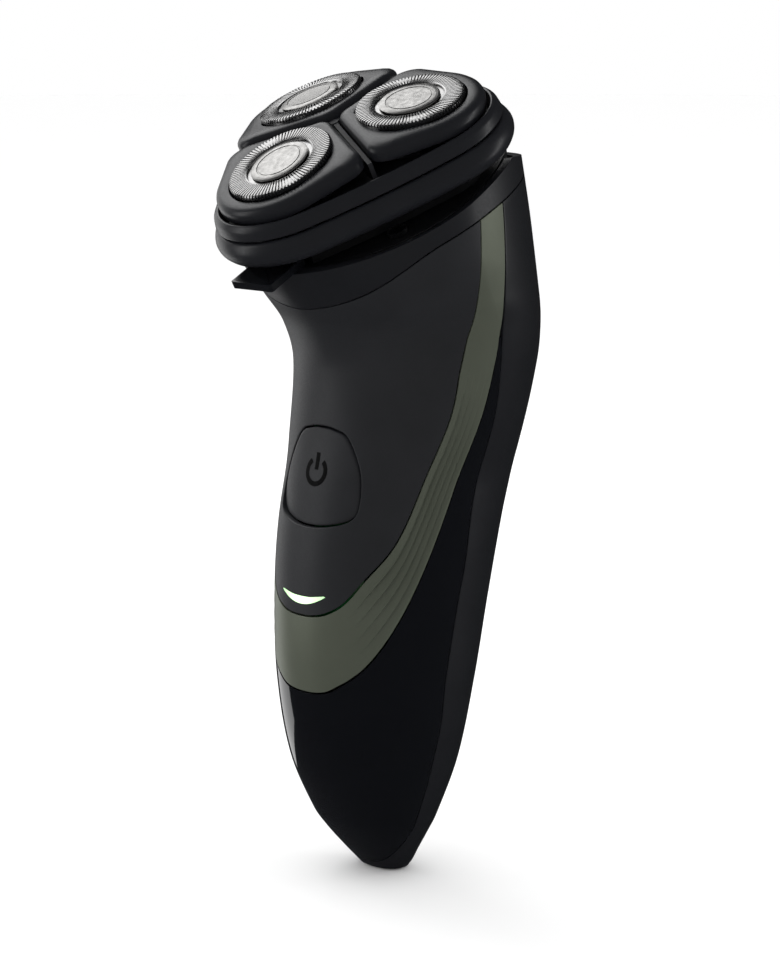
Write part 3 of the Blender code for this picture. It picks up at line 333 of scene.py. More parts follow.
def linear(colour: str) -> tuple[float, float, float, float]:
    """An sRGB hex colour as linear light, with full alpha."""
    channels = [int(colour[i : i + 2], 16) / 255 for i in (0, 2, 4)]
    return (*(c / 12.92 if c <= 0.04045 else ((c + 0.055) / 1.055) ** 2.4 for c in channels), 1.0)


def add(tree: bpy.types.NodeTree, kind: str, values: dict | None = None, **settings: object) -> bpy.types.Node:
    """Adds a node.

    Args:
        tree: The tree that takes it.
        kind: The node's type.
        values: What each input gets: a socket is linked, anything else is set.
        settings: The node's own settings.

    Returns:
        The new node.
    """
    node = tree.nodes.new(kind)
    for key, value in settings.items():
        setattr(node, key, value)
    for key, value in (values or {}).items():
        if isinstance(value, bpy.types.NodeSocket):
            tree.links.new(value, node.inputs[key])
        else:
            node.inputs[key].default_value = value
    return node


def blend(tree: bpy.types.NodeTree, factor: bpy.types.NodeSocket, low: str, high: str) -> bpy.types.NodeSocket:
    """A colour between two.

    Args:
        tree: The tree that takes the node.
        factor: What moves the colour from low to high.
        low: The sRGB hex at 0.
        high: The sRGB hex at 1.

    Returns:
        The colour's socket.
    """
    node = add(tree, "ShaderNodeMix", {"Factor": factor}, data_type="RGBA")
    node.inputs[6].default_value, node.inputs[7].default_value = linear(low), linear(high)
    return node.outputs[2]


@dataclass(frozen=True)
class Finish:
    """What every finish has: a name, a colour and a base roughness."""

    name: str
    colour: str
    roughness: float = 0.5

    def begin(self) -> tuple[bpy.types.Material, bpy.types.NodeTree, bpy.types.Node, bpy.types.NodeSocket]:
        """Starts the material.

        Returns:
            The material with its tree, its shader and its object coordinates.
        """
        made = bpy.data.materials.new(self.name)
        made.use_nodes = True
        tree = made.node_tree
        shader = tree.nodes["Principled BSDF"]
        shader.inputs["Base Color"].default_value = linear(self.colour)
        shader.inputs["Roughness"].default_value = self.roughness
        return made, tree, shader, add(tree, "ShaderNodeTexCoord").outputs["Object"]

    def surface(self, shader: bpy.types.Node, grain: bpy.types.NodeSocket, roughness: tuple[float, float],
                relief: bpy.types.NodeSocket, strength: float, depth_mm: float) -> None:
        """Lets a grain drive the roughness and a relief the bump.

        Args:
            shader: The material's shader.
            grain: What moves the roughness.
            roughness: The least and the most of it.
            relief: The height that the bump follows.
            strength: The bump's strength.
            depth_mm: How deep the relief is.
        """
        tree = shader.id_data
        low, high = roughness
        rough = add(tree, "ShaderNodeMapRange", {"Value": grain, "From Min": 0.3, "From Max": 0.7,
                                                 "To Min": low, "To Max": high})
        bump = add(tree, "ShaderNodeBump", {"Height": relief, "Strength": strength, "Distance": depth_mm * MM})
        tree.links.new(rough.outputs["Result"], shader.inputs["Roughness"])
        tree.links.new(bump.outputs["Normal"], shader.inputs["Normal"])


@dataclass(frozen=True)
class MouldedPlastic(Finish):
    """Moulded plastic: a spark-eroded mould leaves an even grain, which breaks up the reflection.

    The grain is drawn coarser than real, so that it shows.
    """

    tone: str = "202126"
    grain_mm: float = 0.35
    depth_mm: float = 0.012
    spread: float = 0.06
    metallic: float = 0.0
    coat: float = 0.0

    def make(self) -> bpy.types.Material:
        """Grain in the bump, and a slow drift in colour and roughness.

        Returns:
            The material.
        """
        made, tree, shader, place = self.begin()
        grain = add(tree, "ShaderNodeTexNoise", {"Vector": place, "Scale": 1 / (self.grain_mm * MM),
                                                 "Detail": 3.0, "Roughness": 0.6})
        drift = add(tree, "ShaderNodeTexNoise", {"Vector": place, "Scale": 1 / (9 * MM), "Detail": 2.0})
        tree.links.new(blend(tree, drift.outputs["Fac"], self.colour, self.tone), shader.inputs["Base Color"])
        limits = (self.roughness - self.spread, self.roughness + self.spread)
        self.surface(shader, grain.outputs["Fac"], limits, grain.outputs["Fac"], 0.6, self.depth_mm)
        shader.inputs["Metallic"].default_value = self.metallic
        shader.inputs["Coat Weight"].default_value = self.coat
        shader.inputs["Coat Roughness"].default_value = 0.08
        return made


@dataclass(frozen=True)
class TurnedMetal(Finish):
    """Metal faced on a lathe: fine rings about the piece's own axis, drawn coarser than the tool's real feed."""

    place: Matrix = field(default_factory=Matrix)
    ring_mm: float = 0.3
    depth_mm: float = 0.006
    tone: str = "a5a5a6"

    def make(self) -> bpy.types.Material:
        """Rings in the bump, and light wear in the roughness.

        Returns:
            The material.
        """
        made, tree, shader, coords = self.begin()
        shader.inputs["Metallic"].default_value = 1.0
        back = self.place.inverted()
        centred = add(tree, "ShaderNodeMapping", {"Vector": coords, "Location": back.to_translation(),
                                                  "Rotation": back.to_euler()}, vector_type="POINT")
        rings = add(tree, "ShaderNodeTexWave", {"Vector": centred.outputs["Vector"],
                                                "Scale": math.pi / (10 * self.ring_mm * MM), "Distortion": 0.6,
                                                "Detail": 2.0}, wave_type="RINGS", rings_direction="Z")
        wear = add(tree, "ShaderNodeTexNoise", {"Vector": coords, "Scale": 1 / (1.1 * MM), "Detail": 4.0})
        tree.links.new(blend(tree, wear.outputs["Fac"], self.colour, self.tone), shader.inputs["Base Color"])
        limits = (self.roughness * 0.8, self.roughness * 1.25)
        self.surface(shader, wear.outputs["Fac"], limits, rings.outputs["Fac"], 0.5, self.depth_mm)
        return made


@dataclass(frozen=True)
class LitLens(Finish):
    """Milky light guide in polycarbonate, lit from behind and brightest in the middle."""

    edge: str = "1d8a2b"
    strength: float = 0.95
    half_width_mm: float = 5.6

    def make(self) -> bpy.types.Material:
        """A glow that fades from the middle to the ends.

        Returns:
            The material.
        """
        made, tree, shader, coords = self.begin()
        apart = add(tree, "ShaderNodeSeparateXYZ", {"Vector": coords})
        reach = add(tree, "ShaderNodeMath", {0: apart.outputs["X"]}, operation="ABSOLUTE")
        fade = add(tree, "ShaderNodeMapRange", {"Value": reach.outputs["Value"], "From Min": 1.0 * MM,
                                                "From Max": self.half_width_mm * MM})
        glow = blend(tree, fade.outputs["Result"], self.colour, self.edge)
        tree.links.new(glow, shader.inputs["Emission Color"])
        shader.inputs["Emission Strength"].default_value = self.strength
        return made


class Look(Enum):
    """The finishes that more than one piece shares."""

    # Broad, dim highlight with no sparkle: it feels dry and soft.
    SOFT_BLACK = MouldedPlastic("Soft-touch painted ABS", "1c1d21", 0.5, "222327", 0.3, 0.010)
    # Darker and a little tighter, so that the back reads as the harder shell.
    REAR_BLACK = MouldedPlastic("Satin moulded ABS", "141519", 0.36, "191a1e", 0.45, 0.010)
    # Mirrors the lights in sharp strips against near black.
    GLOSS_BLACK = MouldedPlastic("High-gloss ABS", "08090c", 0.05, "0a0b0e", 2.5, 0.002, 0.015, coat=0.3)
    # Metallic flake under satin: the band brightens and darkens along its steps.
    OLIVE = MouldedPlastic("Olive satin lacquer on ABS", "62675a", 0.42, "6a6f62", 0.22, 0.010, metallic=0.6)
    # Three near blacks, whose highlights part the head, the collar and the deck.
    HEAD_BLACK = MouldedPlastic("Head ABS, fine grain", "16171b", 0.34, "1a1b1f", 0.4, 0.010)
    COLLAR_BLACK = MouldedPlastic("Collar ABS, satin", "15161a", 0.38, "191a1e", 0.4, 0.010)
    DECK_BLACK = MouldedPlastic("Deck ABS, matte", "101114", 0.5, "131417", 0.5, 0.012)
    # A wet-looking tab, which stands out from the satin collar.
    TAB_BLACK = MouldedPlastic("Release tab ABS, glossy", "0b0c0f", 0.16, "0d0e11", 0.8, 0.006, 0.03)
    # Dull and slightly rough: a structural part that nobody polishes.
    DARK_PLASTIC = MouldedPlastic("Glass-filled nylon", "1d1e22", 0.55, "232428", 0.3, 0.02)
    # No highlight at all, so that the mark stays black on the button.
    MARK_BLACK = MouldedPlastic("Printed ink", "010101", 0.85, "020202", 0.5, 0.004)
    # Waxy off-white, as of gears that run dry.
    WHITE_ACETAL = MouldedPlastic("Natural acetal", "d6d4ca", 0.42, "dedcd4", 0.5, 0.01)
    # Warm, coarse and shiny, as of wound wire.
    COPPER = MouldedPlastic("Enamelled copper winding", "a4623a", 0.36, "b57346", 0.25, 0.05, metallic=0.9)
    # Yellow metal with a bright edge.
    BRASS = MouldedPlastic("Cut brass", "b8954e", 0.3, "c6a560", 0.3, 0.01, metallic=1.0)
    # Thin film with slow waves in its highlight.
    CELL_GREEN = MouldedPlastic("Shrink sleeve", "2f6a48", 0.3, "35724f", 1.5, 0.01)
    # Clear green resin over copper.
    BOARD_GREEN = MouldedPlastic("Solder mask", "1d5a38", 0.35, "246441", 0.6, 0.01)
    # Grey metal with a fine, even scratch.
    STEEL = MouldedPlastic("Ground steel", "9b9b9d", 0.3, "a8a8aa", 0.25, 0.01, metallic=1.0)
    # Brighter and warmer than the steel.
    NICKEL = MouldedPlastic("Nickel plate", "bdbab2", 0.25, "c8c5be", 0.4, 0.006, metallic=1.0)
    # The only light in the piece: a pale core that turns green at its ends.
    LENS = LitLens("Milky polycarbonate, lit", "d4ffc4", 0.35)

    def material(self) -> bpy.types.Material:
        """The shared material, made once."""
        return bpy.data.materials.get(self.value.name) or self.value.make()


def settle(piece: bpy.types.Object, body: str, look: Look | bpy.types.Material, slot: str, *nodes: str) -> None:
    """Dresses a finished piece and ties it to the frame.

    Args:
        piece: The piece, already in place.
        body: The frame's body that it moves with.
        look: Its finish.
        slot: The record's slot for that finish; not used.
        nodes: The frame's nodes that it stands for.
    """
    piece.data.materials.clear()
    piece.data.materials.append(look.material() if isinstance(look, Look) else look)
    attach(piece, body)
    if nodes:
        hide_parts(*nodes)
    LOG.info("%s: %d faces on %s", piece.name, len(piece.data.polygons), body)


# ---------------------------------------------------------------- the handle's form


@dataclass
class HandleForm:
    """The handle's outline: sections up its length, and the seams as curves in side view."""

    length: float = 160 * MM
    grip_depth: float = 40 * MM
    grip_half_width: float = 19.2 * MM
    neck_half_width: float = 28.21 * MM
    neck_depth: float = 40.01 * MM
    grip_front_power: float = 2.2
    neck_front_power: float = 1.75
    rear_power: float = 2.4
    gap: float = 0.15 * MM
    seam_rounds: int = 40
    # Height as a share of the length, half width of the grip's or neck's, and front and rear of the depth.
    sections: tuple = (
        (0.000, 0.292, -0.100, 0.095), (0.010, 0.360, -0.135, 0.110), (0.025, 0.443, -0.188, 0.125),
        (0.050, 0.583, -0.270, 0.153), (0.075, 0.703, -0.338, 0.188), (0.150, 0.885, -0.475, 0.312),
        (0.250, 0.969, -0.560, 0.425), (0.350, 1.000, -0.580, 0.520), (0.450, 1.036, -0.545, 0.612),
        (0.550, 1.064, -0.450, 0.712), (0.650, 0.966, -0.405, 0.775), (0.700, 0.945, -0.480, 0.775),
        (0.738, 0.965, -0.615, 0.750), (0.788, 1.000, -0.790, 0.710), (0.838, 1.000, -0.860, 0.675),
        (0.912, 0.965, -0.900, 0.625), (0.950, 0.943, -0.900, 0.600),
    )
    # Seams: y as a share of the depth and z as a share of the length.
    panel_edge: tuple = (
        (-0.80, 0.340), (-0.62, 0.345), (-0.54, 0.363), (-0.45, 0.402), (-0.33, 0.444), (-0.225, 0.497),
        (-0.115, 0.565), (-0.06, 0.61), (-0.042, 0.66), (-0.058, 0.74), (-0.065, 0.875), (-0.065, 0.97),
    )
    band_edge: tuple = (
        (-0.80, 0.232), (-0.65, 0.238), (-0.56, 0.253), (-0.52, 0.269), (-0.438, 0.299), (-0.315, 0.350),
        (-0.212, 0.399), (-0.102, 0.457), (0.0, 0.518), (0.09, 0.581), (0.13, 0.625), (0.1425, 0.67),
        (0.1225, 0.74), (0.11, 0.875), (0.11, 0.97),
    )
    parting: tuple = (
        (-0.135, -0.03), (-0.13, 0.03), (-0.118, 0.067), (-0.11, 0.109), (-0.088, 0.162), (-0.052, 0.212),
        (-0.04, 0.262), (-0.005, 0.312), (0.035, 0.362), (0.078, 0.412), (0.115, 0.488), (0.178, 0.561),
        (0.2, 0.61), (0.188, 0.655), (0.15, 0.70), (0.1225, 0.74), (0.11, 0.875), (0.11, 0.97),
    )
    collar_seam: tuple = (
        (-1.2, 0.62), (-0.95, 0.66), (-0.70, 0.694), (-0.5375, 0.7375), (-0.425, 0.778), (-0.325, 0.802),
        (-0.2, 0.82), (-0.075, 0.835), (0.11, 0.855), (0.35, 0.878), (0.675, 0.90), (1.0, 0.915),
    )

    def neck(self, z: Array) -> Array:
        """0 in the grip and 1 in the neck."""
        return smooth_step(z / self.length, 0.5, 0.74)

    def sizes(self, z: Array) -> tuple[Array, Array, Array]:
        """Reads the sections, eased from each to the next.

        Args:
            z: The heights.

        Returns:
            Half width, front and rear at each height.
        """
        rows = np.array(self.sections)
        knots, share = rows[:, 0], np.clip(z / self.length, 0, rows[-1, 0] - 1e-9)
        i = np.clip(np.searchsorted(knots, share, side="right") - 1, 0, len(knots) - 2)
        span = knots[i + 1] - knots[i]
        t = (share - knots[i]) / span
        before, after = np.maximum(i - 1, 0), np.minimum(i + 2, len(knots) - 1)
        values = []
        for column in rows[:, 1:].T:
            low, high = column[i], column[i + 1]
            rise = (high - column[before]) / (knots[i + 1] - knots[before]) * span
            fall = (column[after] - low) / (knots[after] - knots[i]) * span
            values.append(low * (1 + 2 * t) * (1 - t) ** 2 + rise * t * (1 - t) ** 2
                          + high * t * t * (3 - 2 * t) + fall * t * t * (t - 1))
        width = self.grip_half_width + (self.neck_half_width - self.grip_half_width) * self.neck(z)
        depth = self.depth(z)
        return values[0] * width, values[1] * depth, values[2] * depth

    def depth(self, z: Array) -> Array:
        """The depth that sections and seams are shares of."""
        return self.grip_depth + (self.neck_depth - self.grip_depth) * self.neck(z)

    def powers(self, z: Array) -> Array:
        """How square the front half of each section is."""
        return self.grip_front_power + (self.neck_front_power - self.grip_front_power) * self.neck(z)

    def point(self, angle: Array, z: Array, inset: Array | float = 0.0) -> Array:
        """Points on the skin.

        Args:
            angle: The angle round the section, from the right side towards the rear.
            z: The height.
            inset: How far the skin is drawn in.

        Returns:
            Rows of x, y and z.
        """
        half, front, rear = self.sizes(z)
        half, front, rear = half - inset, front + inset, rear - inset
        middle, reach = (front + rear) / 2, (rear - front) / 2
        across, along = np.cos(angle), np.sin(angle)
        power = 2 / np.where(along < 0, self.powers(z), self.rear_power)
        x = half * np.sign(across) * np.abs(across) ** power
        x = np.where(np.abs(across) < 1e-9, 0.0, x)
        return np.stack([x, middle + reach * np.sign(along) * np.abs(along) ** power, z], axis=1)

    def angle(self, y: Array, z: Array) -> Array:
        """The angle on the right side where the section at that height has that y."""
        _, front, rear = self.sizes(z)
        share = np.clip((y - (front + rear) / 2) / ((rear - front) / 2), -1, 1)
        power = np.where(share < 0, self.powers(z), self.rear_power) / 2
        return np.arcsin(np.sign(share) * np.abs(share) ** power)

    def front(self, x: Array, z: Array) -> Array:
        """The y of the front skin at each x and height."""
        half, front, rear = self.sizes(z)
        power = self.powers(z)
        share = (1 - np.clip(np.abs(x) / half, 0, 1) ** power) ** (1 / power)
        return (front + rear) / 2 - (rear - front) / 2 * share

    def side_curve(self, shares: tuple, shift: float = 0.0, steps: int = 24) -> Array:
        """A seam in side view.

        Args:
            shares: Its points, as shares of the depth and of the length.
            shift: How far it moves sideways.
            steps: Points from each of its points to the next.

        Returns:
            Rows of y and z.
        """
        curve = through(np.array([shares[0], *shares, shares[-1]]), steps)
        z = curve[:, 1] * self.length
        curve = np.stack([curve[:, 0] * self.depth(z), z], axis=1)
        run = np.gradient(curve, axis=0)
        run /= np.linalg.norm(run, axis=1, keepdims=True)
        return curve + shift * np.stack([-run[:, 1], run[:, 0]], axis=1)

    def collar_height(self, angle: Array, shift: float = 0.0) -> Array:
        """Finds the collar's seam by closing in on it.

        Args:
            angle: The angles round the section.
            shift: How far the seam moves sideways.

        Returns:
            Its height at each angle.
        """
        seam = self.side_curve(self.collar_seam, shift)
        z = np.full_like(angle, 0.8 * self.length)
        for _ in range(self.seam_rounds):
            z = 0.5 * z + 0.5 * np.interp(self.point(angle, z)[:, 1], seam[:, 0], seam[:, 1])
        return z

    def trace(self, shares: tuple, shift: float, count: int, ceiling: float = 1.0) -> Array:
        """A seam on the right side, evenly spaced from the front line up to the collar.

        Args:
            shares: The seam's points.
            shift: How far it moves sideways.
            count: How many points it gets.
            ceiling: The share of the length where it ends at the latest.

        Returns:
            Rows of angle and height.
        """
        seam = self.side_curve(shares, shift, 60)
        y, z = seam.T
        _, front, _ = self.sizes(z)
        start = np.nonzero(y <= front)[0].max()
        top = self.side_curve(self.collar_seam, -self.gap)
        limit = np.minimum(np.interp(y[start:], top[:, 0], top[:, 1]), ceiling * self.length)
        end = np.nonzero(z[start:] >= limit)[0].min() + start
        t = (front[start] - y[start]) / ((y[start + 1] - y[start]) - (front[start + 1] - front[start]))
        first = seam[start] * (1 - t) + seam[start + 1] * t
        kept = np.concatenate([[first], seam[start + 1 : end + 1]])
        angles = self.angle(kept[:, 0], kept[:, 1])
        angles[0] = -math.pi / 2
        return even(self, np.stack([angles, kept[:, 1]], axis=1), count)


def even(form: HandleForm, track: Array, count: int) -> Array:
    """A track of angle and height respaced so that its points are evenly far apart on the skin."""
    points = form.point(track[:, 0], track[:, 1])
    run = np.concatenate([[0], np.cumsum(np.linalg.norm(np.diff(points, axis=0), axis=1))])
    at = np.linspace(0, run[-1], count)
    return np.stack([np.interp(at, run, track[:, 0]), np.interp(at, run, track[:, 1])], axis=1)


@dataclass
class Handle:
    """The handle's shells: panel, trim, gloss cover, rear housing and collar."""

    form: HandleForm = field(default_factory=HandleForm)
    wall: float = 1.3 * MM
    edge: float = 0.28 * MM
    rows: int = 180
    ridges: int = 5
    ridge_depth: float = 0.75 * MM
    ridge_across: tuple = (0.10, 0.2, 0.92, 0.98)
    ridge_along: tuple = (0.10, 0.26, 0.5, 0.72)
    # Faces across the panel, the trim, the gloss cover and half the rear housing.
    columns: tuple = (70, 84, 60, 84)
    cover_top: float = 0.69
    foot_rows: int = 14
    foot_share: float = 0.06
    inlet: tuple = (4.3 * MM, 2.9 * MM)
    collar_lip: float = -18.0 * MM
    collar_wall: float = 1.7 * MM
    collar_edge: float = 0.45 * MM
    lug_radius: float = 2.2 * MM
    lug_sides: tuple = (8.7 * MM, 12.2 * MM)
    lug_base: float = 143.2 * MM
    lug_foot: float = 1.6 * MM
    lip_rounds: int = 30

    def half_shell(self, name: str, outer: Array, inner: Array, columns: int, lift: Place | None = None,
                   top: bool = True) -> bpy.types.Object:
        """A shell between two tracks on the right side, mirrored to the left.

        Args:
            name: The piece's name.
            outer: The first track, as angle and height.
            inner: The second track, with as many points.
            columns: Faces from one track to the other.
            lift: How far the skin is drawn in at each place, or None.
            top: Whether the upper edge follows the collar's seam.

        Returns:
            The closed and rounded shell.
        """
        steps = np.linspace(0, 1, len(outer))

        def place(u: Array, v: Array) -> Array:
            """Lays the skin from one track to the other.

            Args:
                u: The share from the first track to the second.
                v: The share up them.

            Returns:
                Rows of x, y and z.
            """
            first, second = (np.stack([np.interp(v, steps, t[:, k]) for k in (0, 1)]) for t in (outer, inner))
            angle, z = first * (1 - u) + second * u
            if top:
                wanted = self.form.collar_height(angle, -self.form.gap)
                level = outer[-1, 1] * (1 - u) + inner[-1, 1] * u
                z = z + v**4 * (wanted - level)
            inset = lift(u, v) if lift else 0.0
            return self.form.point(angle, z, inset)

        return self.both_halves(grid(name, columns, self.rows, place))

    def both_halves(self, piece: bpy.types.Object) -> bpy.types.Object:
        """Mirrors a right half to the left and gives it its wall.

        Args:
            piece: The skin of the right half.

        Returns:
            The same piece, as a closed and rounded shell.
        """
        change(piece, "MIRROR", use_axis=(True, False, False), use_clip=True, merge_threshold=MIRROR_MERGE)
        orient(piece, from_middle)
        shell(piece, self.wall, self.edge)
        return piece

    def line(self, angle: float, low: float, high: float, count: int) -> Array:
        """A straight track up one angle."""
        return np.stack([np.full(count, angle), np.linspace(low, high, count)], axis=1)

    def panel(self) -> bpy.types.Object:
        """The soft black upper front."""
        edge = self.form.trace(self.form.panel_edge, self.form.gap, self.rows + 1)
        top = self.form.collar_height(np.array([-math.pi / 2]), -self.form.gap)[0]
        middle = self.line(-math.pi / 2, edge[0, 1], top, self.rows + 1)
        return self.half_shell("front_panel", edge, middle, self.columns[0])

    def trim(self) -> None:
        """The olive band, with moulded steps that run along its wide lower part."""
        inner = self.form.trace(self.form.panel_edge, -self.form.gap, self.rows + 1)
        outer = self.form.trace(self.form.band_edge, self.form.gap, self.rows + 1)

        def steps(u: Array, v: Array) -> Array:
            """Draws the skin in by the steps, which fade out at both ends and at the edges.

            Args:
                u: The share from the panel to the outer edge.
                v: The share up the band.

            Returns:
                How far it is drawn in at each place.
            """
            phase = (u * (self.ridges + 0.2)) % 1.0
            crease = smooth_step(phase, 0.0, 0.12) * (1 - phase)
            inside, along = between(u, *self.ridge_across), between(v, *self.ridge_along)
            return self.ridge_depth * crease * inside * along

        band = self.half_shell("trim_band_fine", inner, outer, self.columns[1], steps)
        settle(band, "handle", Look.OLIVE, "olive_trim", "trim_band")

    def cover(self) -> None:
        """The gloss black lower front, which runs up behind the trim as a narrow strip."""
        outer = self.form.trace(self.form.parting, self.form.gap, self.rows + 1, self.cover_top)
        band = self.form.trace(self.form.band_edge, -self.form.gap, self.rows + 1, self.cover_top)
        turn = int(0.30 * self.rows)
        lower = self.line(-math.pi / 2, outer[0, 1], band[0, 1], turn + 1)
        inner = np.concatenate([lower[:-1], even(self.form, band, self.rows + 1 - turn)])
        cover = self.half_shell("gloss_cover_fine", outer, inner, self.columns[2], top=False)
        settle(cover, "handle", Look.GLOSS_BLACK, "gloss_black", "lower_front_cover")

    def rear(self) -> None:
        """The satin rear housing, which closes the foot round the inlet."""
        form, rows = self.form, self.rows
        edge = form.trace(form.parting, -form.gap, rows + 1)
        top = form.collar_height(np.array([math.pi / 2]), -form.gap)[0]
        back = self.line(math.pi / 2, edge[0, 1], top, rows + 1)
        low = self.line(-math.pi / 2, 0.0, edge[0, 1], self.foot_rows + 1)[:-1]
        outer = np.concatenate([low, edge])
        inner = np.concatenate([self.line(math.pi / 2, 0.0, edge[0, 1], self.foot_rows + 1)[:-1], back])
        share = np.linspace(0, 1, len(outer))

        def place(u: Array, v: Array) -> Array:
            """Lays the foot out from the inlet's opening, and then the skin up to the collar.

            Args:
                u: The share from the parting line to the back.
                v: The share up from the inlet.

            Returns:
                Rows of x, y and z.
            """
            body = np.clip((v - self.foot_share) / (1 - self.foot_share), 0, 1)
            first, second = (np.stack([np.interp(body, share, t[:, k]) for k in (0, 1)]) for t in (outer, inner))
            angle = first[0] * (1 - u) + second[0] * u
            z = first[1] + (second[1] - first[1]) * np.sin(u * math.pi / 2) ** 2
            wanted = form.collar_height(angle, -form.gap)
            level = outer[-1, 1] + (inner[-1, 1] - outer[-1, 1]) * np.sin(u * math.pi / 2) ** 2
            z = z + body**4 * (wanted - level)
            points = form.point(angle, z)
            foot = 1 - np.clip(v / self.foot_share, 0, 1)
            across, along = np.cos(angle), np.sin(angle)
            hole = np.stack([self.inlet[0] * np.sign(across) * np.abs(across) ** 0.6,
                             self.inlet[1] * np.sign(along) * np.abs(along) ** 0.8, np.zeros_like(z)], axis=1)
            hole[np.abs(across) < 1e-9, 0] = 0
            return points + (hole - points) * foot[:, None]

        skin = grid("rear_housing_fine", self.columns[3], rows + 2 * self.foot_rows + 2, place)
        piece = self.both_halves(skin)
        settle(piece, "handle", Look.REAR_BLACK, "rear_black", "rear_housing")

    def collar(self, head: "HeadPlace") -> None:
        """The ring under the head, cut level under the tilted head, with the hinge's lugs.

        Args:
            head: Where the head is.
        """
        form = self.form
        ceiling = form.length - 15 * MM
        axis, centre = head.axis, head.centre

        def place(u: Array, v: Array) -> Array:
            """Lays the skin from the seam up to the plane under the head.

            Args:
                u: The share round the collar.
                v: The share up it.

            Returns:
                Rows of x, y and z.
            """
            angle = -math.pi / 2 + 2 * math.pi * u
            low = form.collar_height(angle, form.gap)
            high = np.full_like(low, ceiling)
            for _ in range(self.lip_rounds):
                y = form.point(angle, high)[:, 1]
                plane = centre.z + (self.collar_lip - axis.y * (y - centre.y)) / axis.z
                high = 0.5 * high + 0.5 * np.minimum(ceiling, plane)
            return form.point(angle, low + (high - low) * v)

        ring = grid("collar_fine", 300, 24, place)
        orient(ring, from_middle)
        shell(ring, self.collar_wall, self.collar_edge)
        settle(ring, "handle", Look.COLLAR_BLACK, "collar_black", "neck_collar")
        self.lugs(head)

    def lugs(self, head: "HeadPlace") -> None:
        """The two fixed lugs that hold the hinge pin.

        Args:
            head: Where the hinge is.
        """
        radius, base, pin = self.lug_radius, self.lug_base, head.hinge
        inner, outer = self.lug_sides
        wall = self.form.sizes(np.array([0.145]))[2][0] - 1.2 * MM
        outline = [(pin.y - radius, base), (wall, base), (wall, base + self.lug_foot)]
        outline += side_arc((pin.y, pin.z), radius, -20, 180)
        for name, low, high in (("left", -outer, -inner), ("right", inner, outer)):
            lug = slab(f"hinge_lug_{name}", outline, low, high, 0.25 * MM)
            settle(lug, "handle", Look.COLLAR_BLACK, "collar_black")


